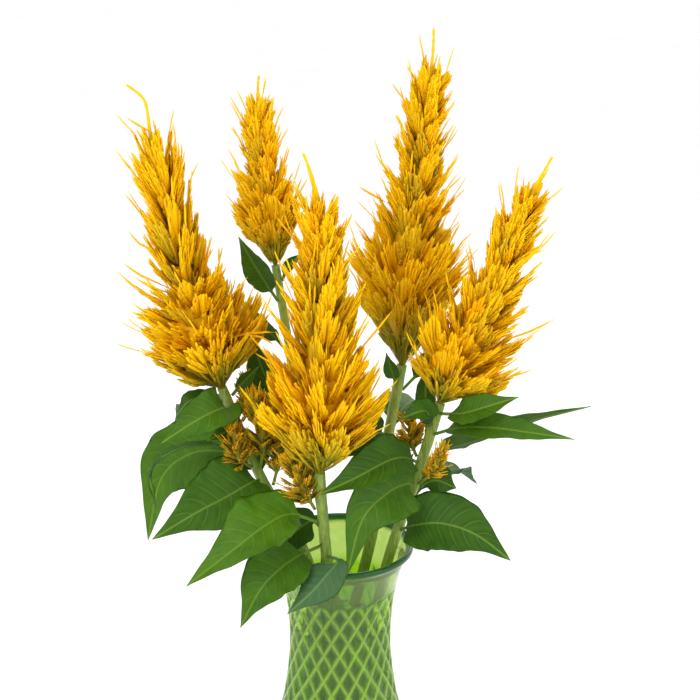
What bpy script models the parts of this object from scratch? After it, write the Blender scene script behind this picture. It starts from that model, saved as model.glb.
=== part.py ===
"""Plume celosia: five cut stems with their leaves and side shoots, standing in water
in a green glass vase with a diamond relief. Metres, +Z up, origin at the middle of
the vase's foot, flowers facing -Y."""

import math
import random

import bmesh
import bpy
from mathutils import Vector

# Vase: height and outer radius, read upwards from the foot
VASE_PROFILE = (
    (0.000, 0.0470),
    (0.006, 0.0510),
    (0.024, 0.0555),
    (0.048, 0.0575),
    (0.075, 0.0540),
    (0.100, 0.0485),
    (0.130, 0.0444),
    (0.153, 0.0430),
    (0.185, 0.0447),
    (0.212, 0.0495),
    (0.230, 0.0555),
    (0.238, 0.0595),
)
VASE_SIDES = 40
WALL = 0.0060
FLOOR = 0.0120
RIM_HEIGHT = 0.240
RIM_RADIUS = 0.0615
RIM_BAND = 0.0045
RELIEF_BOTTOM = 0.012
RELIEF_STEP = 0.012
RELIEF_ROWS = 16
RELIEF_DEPTH = 0.0024
WATER_LEVEL = 0.168

# Clearances: between pieces that touch, and round a stalk in the water
SEAT = 0.0003
HOLE_GAP = 0.0006

# Stalks: centre line from the vase's mouth to the plume, radius at the foot and the top
STALKS = {
    "front": ([(-0.009, -0.038, 0.235), (-0.013, -0.049, 0.285), (-0.015, -0.055, 0.325)], 0.0050, 0.0042),
    "left": ([(-0.028, -0.015, 0.235), (-0.064, -0.019, 0.307), (-0.093, -0.020, 0.383)], 0.0048, 0.0040),
    "right": ([(0.041, -0.014, 0.235), (0.061, -0.020, 0.303), (0.080, -0.020, 0.370)], 0.0048, 0.0042),
    "back_right": ([(0.027, 0.022, 0.235), (0.039, 0.036, 0.310), (0.052, 0.046, 0.381)], 0.0050, 0.0044),
    "back_left": ([(-0.014, 0.036, 0.235), (-0.035, 0.054, 0.345), (-0.054, 0.070, 0.461)], 0.0045, 0.0036),
}
# Below the mouth the stalks run straight and pass each other in a spiral
SPIRAL = math.radians(115)
FOOT_SPREAD = 0.029
FOOT_HEIGHT = 0.0138
STALK_STEPS = 13

# Plumes: axis above the stalk's end, the thread that ends it, widest radius,
# where along the axis it is widest, and the number of side branches
PLUMES = {
    "front": (
        [(-0.013, -0.057, 0.385), (-0.013, -0.055, 0.464), (-0.015, -0.050, 0.540)],
        [(-0.020, -0.050, 0.558), (-0.026, -0.050, 0.574)],
        0.055, 0.36, 116,
    ),
    "left": (
        [(-0.107, -0.021, 0.430), (-0.120, -0.023, 0.479), (-0.140, -0.030, 0.586)],
        [(-0.143, -0.030, 0.609), (-0.156, -0.030, 0.621)],
        0.055, 0.38, 112,
    ),
    "right": (
        [(0.098, -0.020, 0.411), (0.122, -0.018, 0.468), (0.148, -0.013, 0.540)],
        [(0.155, -0.013, 0.552), (0.162, -0.012, 0.565)],
        0.047, 0.38, 96,
    ),
    "back_right": (
        [(0.056, 0.055, 0.454), (0.064, 0.057, 0.536), (0.073, 0.054, 0.626)],
        [(0.074, 0.053, 0.641), (0.074, 0.052, 0.656)],
        0.050, 0.42, 114,
    ),
    "back_left": (
        [(-0.059, 0.070, 0.510), (-0.065, 0.071, 0.553), (-0.066, 0.072, 0.598)],
        [(-0.066, 0.072, 0.608), (-0.065, 0.072, 0.6175)],
        0.031, 0.42, 66,
    ),
}
# Shares of the widest radius: at the foot, and lost between the widest place and the top
FOOT_REACH = 0.18
TOP_TAPER = 0.72
TAPER_BEND = 0.80
PLUME_RINGS = 7
PLUME_SIDES = 7
CORE_SHARE = 0.44
THREAD_RADIUS = 0.0016

# Side branches: thickness, how much each one differs, and how far below its tip
# and how far out in the core it starts
BRANCH_RADIUS = 0.0056
RADIUS_SPREAD = (0.85, 1.15)
REACH_SPREAD = (0.84, 1.06)
TURN_SPREAD = 0.25
TIP_LIFT = (0.002, 0.012)
DROP_SHARE = 0.70
DROP_LEAST = 0.010
ROOT_SHARE = 0.45
FIRST_ROOT = 0.009
LOWEST_TIP = 0.07
TIP_SPACING = 1.12
GOLDEN_ANGLE = math.radians(137.5)
BACK = Vector((0.2, 1.0, 0.1))

# Side shoots: stalk, height where they leave it, points to the tip, head radius
SHOOTS = {
    "left_high": ("left", 0.352, [(-0.074, -0.012, 0.362), (-0.077, -0.008, 0.392)], 0.0066),
    "left_mid": ("left", 0.316, [(-0.061, -0.028, 0.340), (-0.066, -0.034, 0.383)], 0.0100),
    "left_inner": ("left", 0.296, [(-0.049, -0.014, 0.324), (-0.053, -0.012, 0.370)], 0.0105),
    "left_low": ("left", 0.318, [(-0.080, -0.034, 0.330), (-0.083, -0.042, 0.362)], 0.0078),
    "front": ("front", 0.292, [(-0.027, -0.053, 0.308), (-0.040, -0.056, 0.343)], 0.0110),
    "right_slender": ("right", 0.304, [(0.075, -0.037, 0.320), (0.082, -0.050, 0.346)], 0.0048),
    "right_inner": ("right", 0.322, [(0.058, -0.012, 0.334), (0.057, -0.010, 0.358)], 0.0074),
}
SHOOT_BRANCHES = 12

# Leaves: stalk, height where they leave it, points to the tip, half width,
# the direction that the upper face looks in, and the share that is leaf stalk
LEAVES = {
    "front_low_left": ("front", 0.282, [(-0.039, -0.066, 0.294), (-0.058, -0.080, 0.290),
                                        (-0.080, -0.093, 0.277), (-0.116, -0.105, 0.252)],
                       0.029, (-0.2, -0.6, 0.8), 0.14),
    "front_over_rim": ("front", 0.260, [(-0.031, -0.068, 0.260), (-0.045, -0.080, 0.255),
                                        (-0.061, -0.087, 0.240), (-0.077, -0.090, 0.209)],
                       0.026, (-0.4, -0.8, 0.5), 0.19),
    "front_rim_under": ("front", 0.249, [(-0.001, -0.069, 0.256), (-0.010, -0.087, 0.252),
                                         (-0.022, -0.097, 0.242), (-0.040, -0.098, 0.225)],
                        0.016, (0.3, 0.9, -0.2), 0.22),
    "front_under": ("front", 0.274, [(-0.022, -0.040, 0.277), (-0.034, -0.043, 0.270),
                                     (-0.050, -0.051, 0.256), (-0.068, -0.059, 0.237)],
                    0.017, (-0.3, -0.8, 0.5), 0.16),
    "left_big": ("left", 0.306, [(-0.071, -0.036, 0.308), (-0.090, -0.046, 0.300),
                                 (-0.113, -0.054, 0.290), (-0.147, -0.062, 0.271)],
                 0.031, (-0.1, -0.8, 0.6), 0.10),
    "left_arching": ("left", 0.322, [(-0.095, -0.008, 0.324), (-0.123, 0.002, 0.318),
                                     (-0.148, 0.006, 0.294), (-0.161, 0.004, 0.240)],
                     0.030, (-0.3, -0.8, 0.4), 0.16),
    "left_drop": ("left", 0.332, [(-0.099, -0.022, 0.335), (-0.128, -0.026, 0.333),
                                  (-0.150, -0.030, 0.316), (-0.147, -0.032, 0.277)],
                  0.007, (-0.1, 0.0, 1.0), 0.20),
    "left_shade": ("left", 0.296, [(-0.070, 0.004, 0.312), (-0.092, 0.014, 0.312), (-0.116, 0.022, 0.296)],
                   0.020, (-0.2, -0.7, 0.7), 0.16),
    "left_upper": ("left", 0.366, [(-0.091, -0.044, 0.374), (-0.110, -0.056, 0.368), (-0.137, -0.060, 0.351)],
                   0.018, (-0.1, -0.8, 0.5), 0.08),
    "left_curled": ("left", 0.373, [(-0.103, -0.026, 0.375), (-0.117, -0.032, 0.376), (-0.128, -0.034, 0.364)],
                    0.009, (-0.2, -0.5, 0.8), 0.20),
    "left_small": ("left", 0.374, [(-0.076, -0.014, 0.386), (-0.064, -0.012, 0.398)],
                   0.006, (0.3, -0.8, 0.3), 0.20),
    "left_inner": ("left", 0.346, [(-0.089, -0.026, 0.348), (-0.104, -0.036, 0.344)],
                   0.008, (-0.1, -0.9, 0.4), 0.15),
    "left_back": ("left", 0.350, [(-0.100, 0.008, 0.356), (-0.122, 0.034, 0.350), (-0.142, 0.058, 0.326)],
                  0.018, (-0.3, 0.3, 0.9), 0.18),
    "back_left_high": ("back_left", 0.432, [(-0.061, 0.056, 0.448), (-0.071, 0.048, 0.468),
                                            (-0.082, 0.042, 0.491)],
                       0.012, (-0.2, -0.9, 0.1), 0.18),
    "back_left_side": ("back_left", 0.392, [(-0.056, 0.054, 0.404), (-0.066, 0.046, 0.418),
                                            (-0.075, 0.042, 0.436)],
                       0.008, (-0.3, -0.9, 0.2), 0.20),
    "back_left_long": ("back_left", 0.308, [(-0.040, 0.040, 0.322), (-0.053, 0.034, 0.354),
                                            (-0.066, 0.030, 0.388), (-0.072, 0.026, 0.416)],
                       0.018, (-0.2, -0.9, 0.3), 0.14),
    "back_left_shade": ("back_left", 0.274, [(-0.026, 0.030, 0.290), (-0.036, 0.024, 0.318),
                                             (-0.047, 0.020, 0.350)],
                        0.017, (-0.2, -0.9, 0.3), 0.16),
    "back_left_strip": ("back_left", 0.448, [(-0.043, 0.062, 0.462), (-0.030, 0.058, 0.474)],
                        0.005, (0.2, -0.8, 0.4), 0.20),
    "back_left_rear": ("back_left", 0.338, [(-0.046, 0.082, 0.352), (-0.062, 0.106, 0.350),
                                            (-0.078, 0.130, 0.330)],
                       0.020, (-0.3, 0.4, 0.8), 0.16),
    "back_left_low": ("back_left", 0.280, [(-0.034, 0.066, 0.294), (-0.044, 0.090, 0.290),
                                           (-0.052, 0.114, 0.268)],
                      0.021, (-0.2, 0.5, 0.8), 0.16),
    "centre_dark": ("back_right", 0.322, [(0.028, 0.020, 0.330), (0.014, 0.012, 0.325), (-0.006, 0.006, 0.311)],
                    0.019, (-0.2, -0.9, 0.4), 0.12),
    "centre_big": ("right", 0.320, [(0.051, -0.037, 0.330), (0.037, -0.053, 0.333),
                                    (0.012, -0.073, 0.327), (-0.016, -0.087, 0.319)],
                   0.021, (0.0, -0.7, 0.7), 0.08),
    "centre_low": ("right", 0.301, [(0.053, -0.036, 0.307), (0.038, -0.052, 0.306),
                                    (0.018, -0.066, 0.290), (0.005, -0.071, 0.258)],
                   0.026, (0.1, -0.9, 0.4), 0.08),
    "right_big": ("right", 0.262, [(0.059, -0.038, 0.272), (0.081, -0.047, 0.278),
                                   (0.108, -0.053, 0.271), (0.136, -0.056, 0.250)],
                  0.026, (0.0, -0.8, 0.6), 0.13),
    "right_inner": ("right", 0.299, [(0.078, -0.016, 0.302), (0.095, -0.013, 0.294)],
                    0.015, (0.3, -0.8, 0.5), 0.14),
    "right_small": ("right", 0.352, [(0.067, -0.037, 0.369), (0.048, -0.046, 0.366)],
                    0.011, (-0.1, -0.7, 0.7), 0.16),
    "right_curled": ("right", 0.363, [(0.095, -0.048, 0.371), (0.113, -0.058, 0.380), (0.137, -0.061, 0.389)],
                     0.013, (0.0, -0.7, 0.7), 0.14),
    "right_long": ("right", 0.346, [(0.092, -0.046, 0.358), (0.118, -0.056, 0.362),
                                    (0.148, -0.059, 0.359), (0.182, -0.057, 0.353)],
                   0.013, (0.0, -0.6, 0.8), 0.12),
    "right_far": ("right", 0.316, [(0.084, -0.004, 0.323), (0.110, 0.004, 0.328),
                                   (0.152, 0.010, 0.342), (0.206, 0.012, 0.356)],
                  0.016, (-0.2, -0.1, 1.0), 0.22),
    "right_upright": ("right", 0.336, [(0.071, 0.000, 0.352), (0.070, 0.010, 0.372), (0.074, 0.018, 0.393)],
                      0.009, (-0.2, -0.9, 0.1), 0.16),
    "right_rear": ("right", 0.284, [(0.074, 0.008, 0.292), (0.096, 0.032, 0.292), (0.118, 0.050, 0.272)],
                   0.020, (0.2, 0.2, 1.0), 0.16),
    "back_right_small": ("back_right", 0.366, [(0.043, 0.032, 0.380), (0.038, 0.024, 0.398)],
                         0.007, (-0.2, -0.9, 0.2), 0.18),
    "back_right_side": ("back_right", 0.360, [(0.070, 0.058, 0.372), (0.090, 0.070, 0.378),
                                              (0.108, 0.082, 0.372)],
                        0.014, (0.1, -0.3, 0.9), 0.18),
    "back_right_rear": ("back_right", 0.318, [(0.052, 0.066, 0.332), (0.066, 0.096, 0.332),
                                              (0.078, 0.126, 0.310)],
                        0.022, (0.2, 0.4, 0.9), 0.16),
    "back_right_low": ("back_right", 0.272, [(0.040, 0.056, 0.284), (0.048, 0.082, 0.280),
                                             (0.050, 0.106, 0.256)],
                       0.020, (0.1, 0.5, 0.9), 0.16),
}
LEAF_RINGS = (5, 9)
LEAF_RING_STEP = 0.011
LEAF_STALK_RADIUS = 0.0013
BLADE = 0.0008
FOLD = math.radians(20)
WAVE = 0.09
WAVE_COUNT = 2.5

GLASS_GREEN = (0.180, 0.400, 0.042, 1)
WATER_TINT = (0.620, 0.780, 0.600, 1)
STALK_GREEN = (0.240, 0.360, 0.070, 1)
LEAF_GREEN = (0.060, 0.160, 0.028, 1)
PLUME_YELLOW = (0.820, 0.430, 0.010, 1)
SHOOT_YELLOW = (0.720, 0.400, 0.020, 1)


def clear_scene():
    for obj in list(bpy.data.objects):
        bpy.data.objects.remove(obj, do_unlink=True)


def new_collection(name):
    collection = bpy.data.collections.new(name)
    bpy.context.scene.collection.children.link(collection)
    return collection


def material(name, colour, roughness, transmission=0.0):
    mat = bpy.data.materials.new(name)
    mat.use_nodes = True
    mat.diffuse_color = colour
    shader = mat.node_tree.nodes["Principled BSDF"]
    shader.inputs["Base Color"].default_value = colour
    shader.inputs["Roughness"].default_value = roughness
    shader.inputs["Metallic"].default_value = 0.0
    shader.inputs["Transmission Weight"].default_value = transmission
    return mat


def lerp(start, end, share):
    return start + (end - start) * share


def smoothstep(value):
    value = min(max(value, 0.0), 1.0)
    return value * value * (3 - 2 * value)


def smooth(points, share):
    """The point at a share from 0 to 1 of a smooth curve through the given points."""
    last = len(points) - 1
    place = min(max(share, 0.0), 1.0) * last
    index = min(int(place), last - 1)
    step = place - index
    p1, p2 = points[index], points[index + 1]
    p0 = points[index - 1] if index else p1 * 2 - p2
    p3 = points[index + 2] if index + 2 <= last else p2 * 2 - p1
    return 0.5 * (
        p1 * 2 + (p2 - p0) * step
        + (p0 * 2 - p1 * 5 + p2 * 4 - p3) * step ** 2
        + (p1 * 3 - p0 - p2 * 3 + p3) * step ** 3
    )


def direction(points, share):
    return (smooth(points, share + 0.01) - smooth(points, share - 0.01)).normalized()


def across(tangent, hint):
    """Two directions square to the tangent: one sideways, one on the hint's side."""
    up = (hint - tangent * hint.dot(tangent)).normalized()
    return tangent.cross(up), up


def link(obj, collection, mat):
    collection.objects.link(obj)
    obj.data.materials.append(mat)
    return obj


def evaluated_mesh(obj):
    graph = bpy.context.evaluated_depsgraph_get()
    return bpy.data.meshes.new_from_object(obj.evaluated_get(graph))


def loft(name, rings):
    """A closed skin through rings of equal count, which ends in a ring of one point."""
    bm = bmesh.new()
    rows = [[bm.verts.new(point) for point in ring] for ring in rings]
    count = len(rows[0])
    for lower, upper in zip(rows, rows[1:]):
        for i in range(count):
            j = (i + 1) % count
            if len(upper) == 1:
                bm.faces.new((lower[i], lower[j], upper[0]))
            else:
                bm.faces.new((lower[i], lower[j], upper[j], upper[i]))
    bm.faces.new(rows[0])
    bmesh.ops.recalc_face_normals(bm, faces=bm.faces)
    bmesh.ops.triangulate(bm, faces=bm.faces)
    mesh = bpy.data.meshes.new(name)
    bm.to_mesh(mesh)
    bm.free()
    return bpy.data.objects.new(name, mesh)


def ring(centre, tangent, hint, radius, sides):
    side, up = across(tangent, hint)
    angles = [math.tau * i / sides for i in range(sides)]
    return [centre + radius * (side * math.cos(angle) + up * math.sin(angle)) for angle in angles]


def vase_radius(height):
    """Outer radius of the vase's body, smooth between the profile's points."""
    knots = VASE_PROFILE
    index = next((i for i in range(len(knots) - 2) if height < knots[i + 1][0]), len(knots) - 2)
    (z0, r0), (z1, r1) = knots[index], knots[index + 1]

    def slope(i):
        a, b = knots[max(i - 1, 0)], knots[min(i + 1, len(knots) - 1)]
        return (b[1] - a[1]) / (b[0] - a[0])

    step = (height - z0) / (z1 - z0)
    span = z1 - z0
    return (
        (2 * step ** 3 - 3 * step ** 2 + 1) * r0 + (step ** 3 - 2 * step ** 2 + step) * span * slope(index)
        + (3 * step ** 2 - 2 * step ** 3) * r1 + (step ** 3 - step ** 2) * span * slope(index + 1)
    )


def turned(name, profile):
    """A profile of (radius, height) points turned round the Z axis."""
    mesh = bpy.data.meshes.new(name)
    mesh.from_pydata(
        [(radius, 0, height) for radius, height in profile],
        [(i, i + 1) for i in range(len(profile) - 1)], [],
    )
    obj = bpy.data.objects.new(name, mesh)
    screw = obj.modifiers.new("turn", "SCREW")
    screw.steps = screw.render_steps = VASE_SIDES
    screw.use_merge_vertices = True
    screw.merge_threshold = 0.00001
    return obj


def relief_heights():
    return [RELIEF_BOTTOM + RELIEF_STEP * row for row in range(RELIEF_ROWS + 1)]


def inside_profile():
    """The vase's floor and inner wall, from the middle of the floor up to the rim."""
    heights = [FLOOR + 0.010, 0.048, 0.080, 0.120, 0.160, 0.200, RIM_HEIGHT - 0.0105]
    corner = vase_radius(FLOOR) - 2 * WALL
    return [(0, FLOOR), (corner, FLOOR)] + [(vase_radius(z) - WALL, z) for z in heights]


def vase_profile():
    rim_middle = RIM_RADIUS - RIM_BAND / 2
    inner_top = RIM_HEIGHT - RIM_BAND
    rim = [(rim_middle - RIM_BAND * 0.7, RIM_HEIGHT - 0.0012), (rim_middle, RIM_HEIGHT),
           (RIM_RADIUS, RIM_HEIGHT - 0.0015), (RIM_RADIUS, inner_top),
           (RIM_RADIUS - 0.0018, inner_top - 0.0012)]
    plain = [(vase_radius(z), z) for z in (0.228, 0.216)]
    relief = [(vase_radius(z), z) for z in reversed(relief_heights())]
    foot = [(vase_radius(0.005), 0.005), (vase_radius(0.0), 0.0)]
    return inside_profile() + rim + plain + relief + foot + [(0, 0)]


def vase(collection):
    """Turned body whose outside is pressed in at the middle of each diamond."""
    body = turned("vase", vase_profile())
    collection.objects.link(body)
    mesh = evaluated_mesh(body)
    bpy.data.objects.remove(body)
    bm = bmesh.new()
    bm.from_mesh(mesh)
    ridges = []
    for vert in bm.verts:
        radius = math.hypot(vert.co.x, vert.co.y)
        row = (vert.co.z - RELIEF_BOTTOM) / RELIEF_STEP
        outside = abs(row - round(row)) < 0.01 and -0.5 < row < RELIEF_ROWS + 0.5
        if not outside or radius < vase_radius(vert.co.z) - WALL / 2:
            continue
        column = round(math.atan2(vert.co.y, vert.co.x) / math.tau * VASE_SIDES)
        if (column + round(row)) % 2:
            share = 1 - RELIEF_DEPTH / radius
            vert.co.x *= share
            vert.co.y *= share
        else:
            ridges.append(vert)
    bmesh.ops.connect_verts(bm, verts=ridges)
    bm.to_mesh(mesh)
    bm.free()
    mesh.materials.clear()
    obj = bpy.data.objects.new("vase", mesh)
    link(obj, collection, material("pressed_green_glass", GLASS_GREEN, 0.06, 0.8))
    mesh.shade_smooth()
    mesh.set_sharp_from_angle(angle=math.radians(12))


def stalk_route(name):
    """Points from the cut foot to the plume: straight in the vase, then by hand."""
    points = [Vector(point) for point in STALKS[name][0]]
    mouth = points[0]
    turn = math.atan2(mouth.y, mouth.x) + SPIRAL
    foot = Vector((FOOT_SPREAD * math.cos(turn), FOOT_SPREAD * math.sin(turn), FOOT_HEIGHT))
    return [foot, foot.lerp(mouth, 1 / 3), foot.lerp(mouth, 2 / 3)] + points


def stalk_at(name, height):
    """Centre, direction and radius of a stalk at a height."""
    points = stalk_route(name)
    low, high = 0.0, 1.0
    for _ in range(30):
        middle = (low + high) / 2
        if smooth(points, middle).z < height:
            low = middle
        else:
            high = middle
    _, thick, thin = STALKS[name]
    return smooth(points, low), direction(points, low), lerp(thick, thin, low)


def tube(name, points, radii):
    curve = bpy.data.curves.new(name, "CURVE")
    curve.dimensions = "3D"
    curve.bevel_depth = 1.0
    curve.bevel_resolution = 2
    curve.use_fill_caps = True
    spline = curve.splines.new("POLY")
    spline.points.add(len(points) - 1)
    for target, point, radius in zip(spline.points, points, radii):
        target.co = (*point, 1)
        target.radius = radius
    return bpy.data.objects.new(name, curve)


def stalk_tube(name, label, extra=0.0):
    route = stalk_route(name)
    _, thick, thin = STALKS[name]
    shares = [i / STALK_STEPS for i in range(STALK_STEPS + 1)]
    points = [smooth(route, share) for share in shares]
    radii = [lerp(thick, thin, share) + extra for share in shares]
    if extra:
        points[0] = points[0] - direction(route, 0.02) * FLOOR
    return tube(label, points, radii)


def water(collection, cutters):
    """Fills the vase to its level, with a plain hole round each stalk."""
    floor_corner, *wall = [row for row in inside_profile() if row[0] > 0]
    below = [row for row in wall if row[1] < WATER_LEVEL]
    (r0, z0), (r1, z1) = below[-1], wall[len(below)]
    level = lerp(r0, r1, (WATER_LEVEL - z0) / (z1 - z0))
    edge = [(floor_corner[0], FLOOR + SEAT)] + below + [(level, WATER_LEVEL)]
    profile = [(0, WATER_LEVEL)] + [(radius - SEAT, z) for radius, z in reversed(edge)] + [(0, FLOOR + SEAT)]
    body = turned("water", profile)
    link(body, collection, material("water", WATER_TINT, 0.02, 1.0))
    for name in STALKS:
        tube_object = stalk_tube(name, "hole_" + name, HOLE_GAP)
        cutters.objects.link(tube_object)
        mesh = evaluated_mesh(tube_object)
        bpy.data.objects.remove(tube_object)
        bm = bmesh.new()
        bm.from_mesh(mesh)
        bmesh.ops.remove_doubles(bm, verts=bm.verts, dist=0.00001)
        bmesh.ops.recalc_face_normals(bm, faces=bm.faces)
        bm.to_mesh(mesh)
        bm.free()
        cutter = bpy.data.objects.new("hole_" + name, mesh)
        cutter.hide_render = True
        cutter.display_type = "WIRE"
        cutters.objects.link(cutter)
        cut = body.modifiers.new(cutter.name, "BOOLEAN")
        cut.operation = "DIFFERENCE"
        cut.solver = "EXACT"
        cut.object = cutter


def stalks(collection):
    mat = material("stalk_green", STALK_GREEN, 0.5)
    for name in STALKS:
        link(stalk_tube(name, "stalk_" + name), collection, mat)


def plume_reach(share, widest, peak):
    """Radius that the branch tips reach at a share of the axis."""
    if share < peak:
        return widest * lerp(FOOT_REACH, 1.0, math.sin(math.pi / 2 * max(share, 0) / peak))
    return widest * (1 - TOP_TAPER * ((min(share, 1.0) - peak) / (1 - peak)) ** TAPER_BEND)


def branch(name, root, tip, rise, thickness):
    """A three-sided side branch that runs to a point."""
    return loft(name, [ring(root, (tip - root).normalized(), rise, thickness, 3), [tip]])


def fuse(body, pieces, collection, mat):
    """Joins the pieces to the body as one closed solid."""
    parts = new_collection(body.name + "_branches")
    for piece in pieces:
        parts.objects.link(piece)
    collection.objects.link(body)
    union = body.modifiers.new("branches", "BOOLEAN")
    union.operation = "UNION"
    union.operand_type = "COLLECTION"
    union.collection = parts
    union.solver = "EXACT"
    mesh = evaluated_mesh(body)
    body.modifiers.clear()
    body.data = mesh
    for piece in pieces:
        bpy.data.objects.remove(piece)
    bpy.data.collections.remove(parts)
    keep_outer_skin(mesh)
    mesh.materials.clear()
    mesh.materials.append(mat)


def keep_outer_skin(mesh):
    """Drops loose scraps and the walls of sealed hollows, so one closed skin is left."""
    bm = bmesh.new()
    bm.from_mesh(mesh)
    unseen = set(bm.verts)
    skins = []
    while unseen:
        skin = set()
        front = [unseen.pop()]
        while front:
            vert = front.pop()
            skin.add(vert)
            linked = {edge.other_vert(vert) for edge in vert.link_edges} & unseen
            unseen -= linked
            front.extend(linked)
        skins.append(skin)
    skins.sort(key=len)
    for skin in skins[:-1]:
        bmesh.ops.delete(bm, geom=list(skin), context="VERTS")
    bm.to_mesh(mesh)
    bm.free()


def plume(name, axis, lead, thread, widest, peak, count, seed):
    """A core along the axis, square to the stalk at its foot, and its side branches."""
    draw = random.Random(seed)
    length = sum((b - a).length for a, b in zip(axis, axis[1:]))
    rings = []
    for i in range(PLUME_RINGS + 1):
        share = i / PLUME_RINGS
        radius = CORE_SHARE * plume_reach(share, widest, peak)
        tangent = direction(axis, share) if i else lead
        rings.append(ring(smooth(axis, share), tangent, BACK, radius, PLUME_SIDES))
    rings += [ring(thread[0], (thread[1] - axis[-1]).normalized(), BACK, THREAD_RADIUS, PLUME_SIDES), [thread[1]]]
    body = loft(name, rings)

    pieces = []
    for i in range(count):
        share = lerp(LOWEST_TIP, 1.0, ((i + 0.5) / count) ** TIP_SPACING)
        turn = i * GOLDEN_ANGLE + draw.uniform(-TURN_SPREAD, TURN_SPREAD)
        reach = plume_reach(share, widest, peak) * draw.uniform(*REACH_SPREAD)
        rise = direction(axis, min(share, 0.98))
        side, up = across(rise, BACK)
        outward = side * math.cos(turn) + up * math.sin(turn)
        start = max(share - (DROP_SHARE * reach + DROP_LEAST) / length, FIRST_ROOT / length)
        core = CORE_SHARE * plume_reach(start, widest, peak)
        root = smooth(axis, start) + outward * ROOT_SHARE * core
        tip = smooth(axis, share) + outward * reach + rise * draw.uniform(*TIP_LIFT)
        pieces.append(branch("branch_%03d" % i, root, tip, rise, BRANCH_RADIUS * draw.uniform(*RADIUS_SPREAD)))
    return body, pieces


def plumes(collection):
    mat = material("plume_yellow", PLUME_YELLOW, 0.85)
    for seed, (name, (axis, thread, widest, peak, count)) in enumerate(PLUMES.items()):
        route = stalk_route(name)
        lead = direction(route, 1.0)
        axis = [route[-1] + lead * SEAT] + [Vector(point) for point in axis]
        thread = [Vector(point) for point in thread]
        core, pieces = plume("plume_" + name, axis, lead, thread, widest, peak, count, seed)
        fuse(core, pieces, collection, mat)


def seat_on_stalk(name, height, toward, radius):
    """Where a side stem of the given radius starts, just clear of its stalk."""
    centre, tangent, stalk_radius = stalk_at(name, height)
    lead = toward - centre
    outward = (lead - tangent * lead.dot(tangent)).normalized()
    slant = math.sqrt(max(1 - lead.normalized().dot(outward) ** 2, 0.0))
    return centre + outward * (stalk_radius + SEAT + radius * slant)


def shoots(collection):
    """Small plumes on short stems in the leaves' forks."""
    mat = material("shoot_yellow", SHOOT_YELLOW, 0.8)
    for seed, (name, (stalk, height, points, widest)) in enumerate(SHOOTS.items()):
        points = [Vector(point) for point in points]
        start = seat_on_stalk(stalk, height, points[0], 0.0016)
        route = [start] + points
        draw = random.Random(100 + seed)
        rings = []
        for share, width in ((0, 0.0), (0.25, 0.0), (0.42, 0.55), (0.60, 0.75), (0.80, 0.50), (0.94, 0.22)):
            radius = max(0.0014, widest * width)
            rings.append(ring(smooth(route, share), direction(route, share), BACK, radius, 6))
        rings.append([route[-1]])
        head = loft("shoot_" + name, rings)
        pieces = []
        for i in range(SHOOT_BRANCHES):
            share = lerp(0.42, 0.92, (i + 0.5) / SHOOT_BRANCHES)
            turn = i * GOLDEN_ANGLE + draw.uniform(-0.2, 0.2)
            rise = direction(route, share)
            side, up = across(rise, BACK)
            outward = side * math.cos(turn) + up * math.sin(turn)
            width = widest * math.sin(math.pi * lerp(0.30, 0.90, (i + 0.5) / SHOOT_BRANCHES))
            root = smooth(route, share - 0.06) + outward * 0.15 * widest
            tip = smooth(route, share) + outward * width * 1.1 + rise * widest * 0.9
            rings = [ring(root, (tip - root).normalized(), rise, widest * 0.26, 3), [tip]]
            pieces.append(loft("tuft_%02d" % i, rings))
        fuse(head, pieces, collection, mat)


def blade_width(share, half_width):
    """Half width of a blade that is widest at two fifths and runs to a long point."""
    return half_width * math.sin(math.pi * min(share, 1.0) ** 0.75) ** 0.9


def leaf(name, route, half_width, face, stem_share, seed):
    """A lofted leaf: round stem, then a thin blade folded at the midrib with waved edges."""
    phase = random.Random(seed).uniform(0, math.tau)
    length = sum((b - a).length for a, b in zip(route, route[1:]))
    count = min(max(round(length / LEAF_RING_STEP), LEAF_RINGS[0]), LEAF_RINGS[1])
    rings = []
    for i in range(count + 1):
        share = i / count
        along = max(share - stem_share, 0.0) / (1 - stem_share)
        flat = smoothstep(along / 0.12)
        centre = smooth(route, share)
        side, up = across(direction(route, share), face)
        width = max(blade_width(along, half_width), LEAF_STALK_RADIUS * lerp(1.0, 0.6, along))
        middle = lerp(LEAF_STALK_RADIUS, BLADE / 2, flat)
        edge = lerp(LEAF_STALK_RADIUS / 2, BLADE / 2, flat)
        lift = math.sin(FOLD) * width * flat
        points = []
        for sign, thick in ((-1, edge), (0, middle), (1, edge)):
            wave = WAVE * width * flat * math.sin(math.tau * WAVE_COUNT * along + phase + sign * 1.1)
            offset = side * sign * width * lerp(1.0, math.cos(FOLD), flat)
            points.append((centre + offset + up * abs(sign) * (lift + wave), thick))
        rings.append([point + up * thick for point, thick in points]
                     + [point - up * thick for point, thick in reversed(points)])
    return leaf_mesh(name, rings)


def leaf_mesh(name, rings):
    """Skin of a leaf: top and bottom split along the same lines, so they never cross."""
    bm = bmesh.new()
    rows = [[bm.verts.new(point) for point in points] for points in rings]
    for a, b in zip(rows, rows[1:]):
        for i in range(6):
            j = (i + 1) % 6
            if i in (0, 3):
                bm.faces.new((a[i], a[j], b[i]))
                bm.faces.new((a[j], b[j], b[i]))
            else:
                bm.faces.new((a[i], a[j], b[j]))
                bm.faces.new((a[i], b[j], b[i]))
    for row in (rows[0], rows[-1]):
        bm.faces.new((row[0], row[1], row[4], row[5]))
        bm.faces.new((row[1], row[2], row[3], row[4]))
    bmesh.ops.recalc_face_normals(bm, faces=bm.faces)
    mesh = bpy.data.meshes.new(name)
    bm.to_mesh(mesh)
    bm.free()
    return bpy.data.objects.new(name, mesh)


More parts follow.
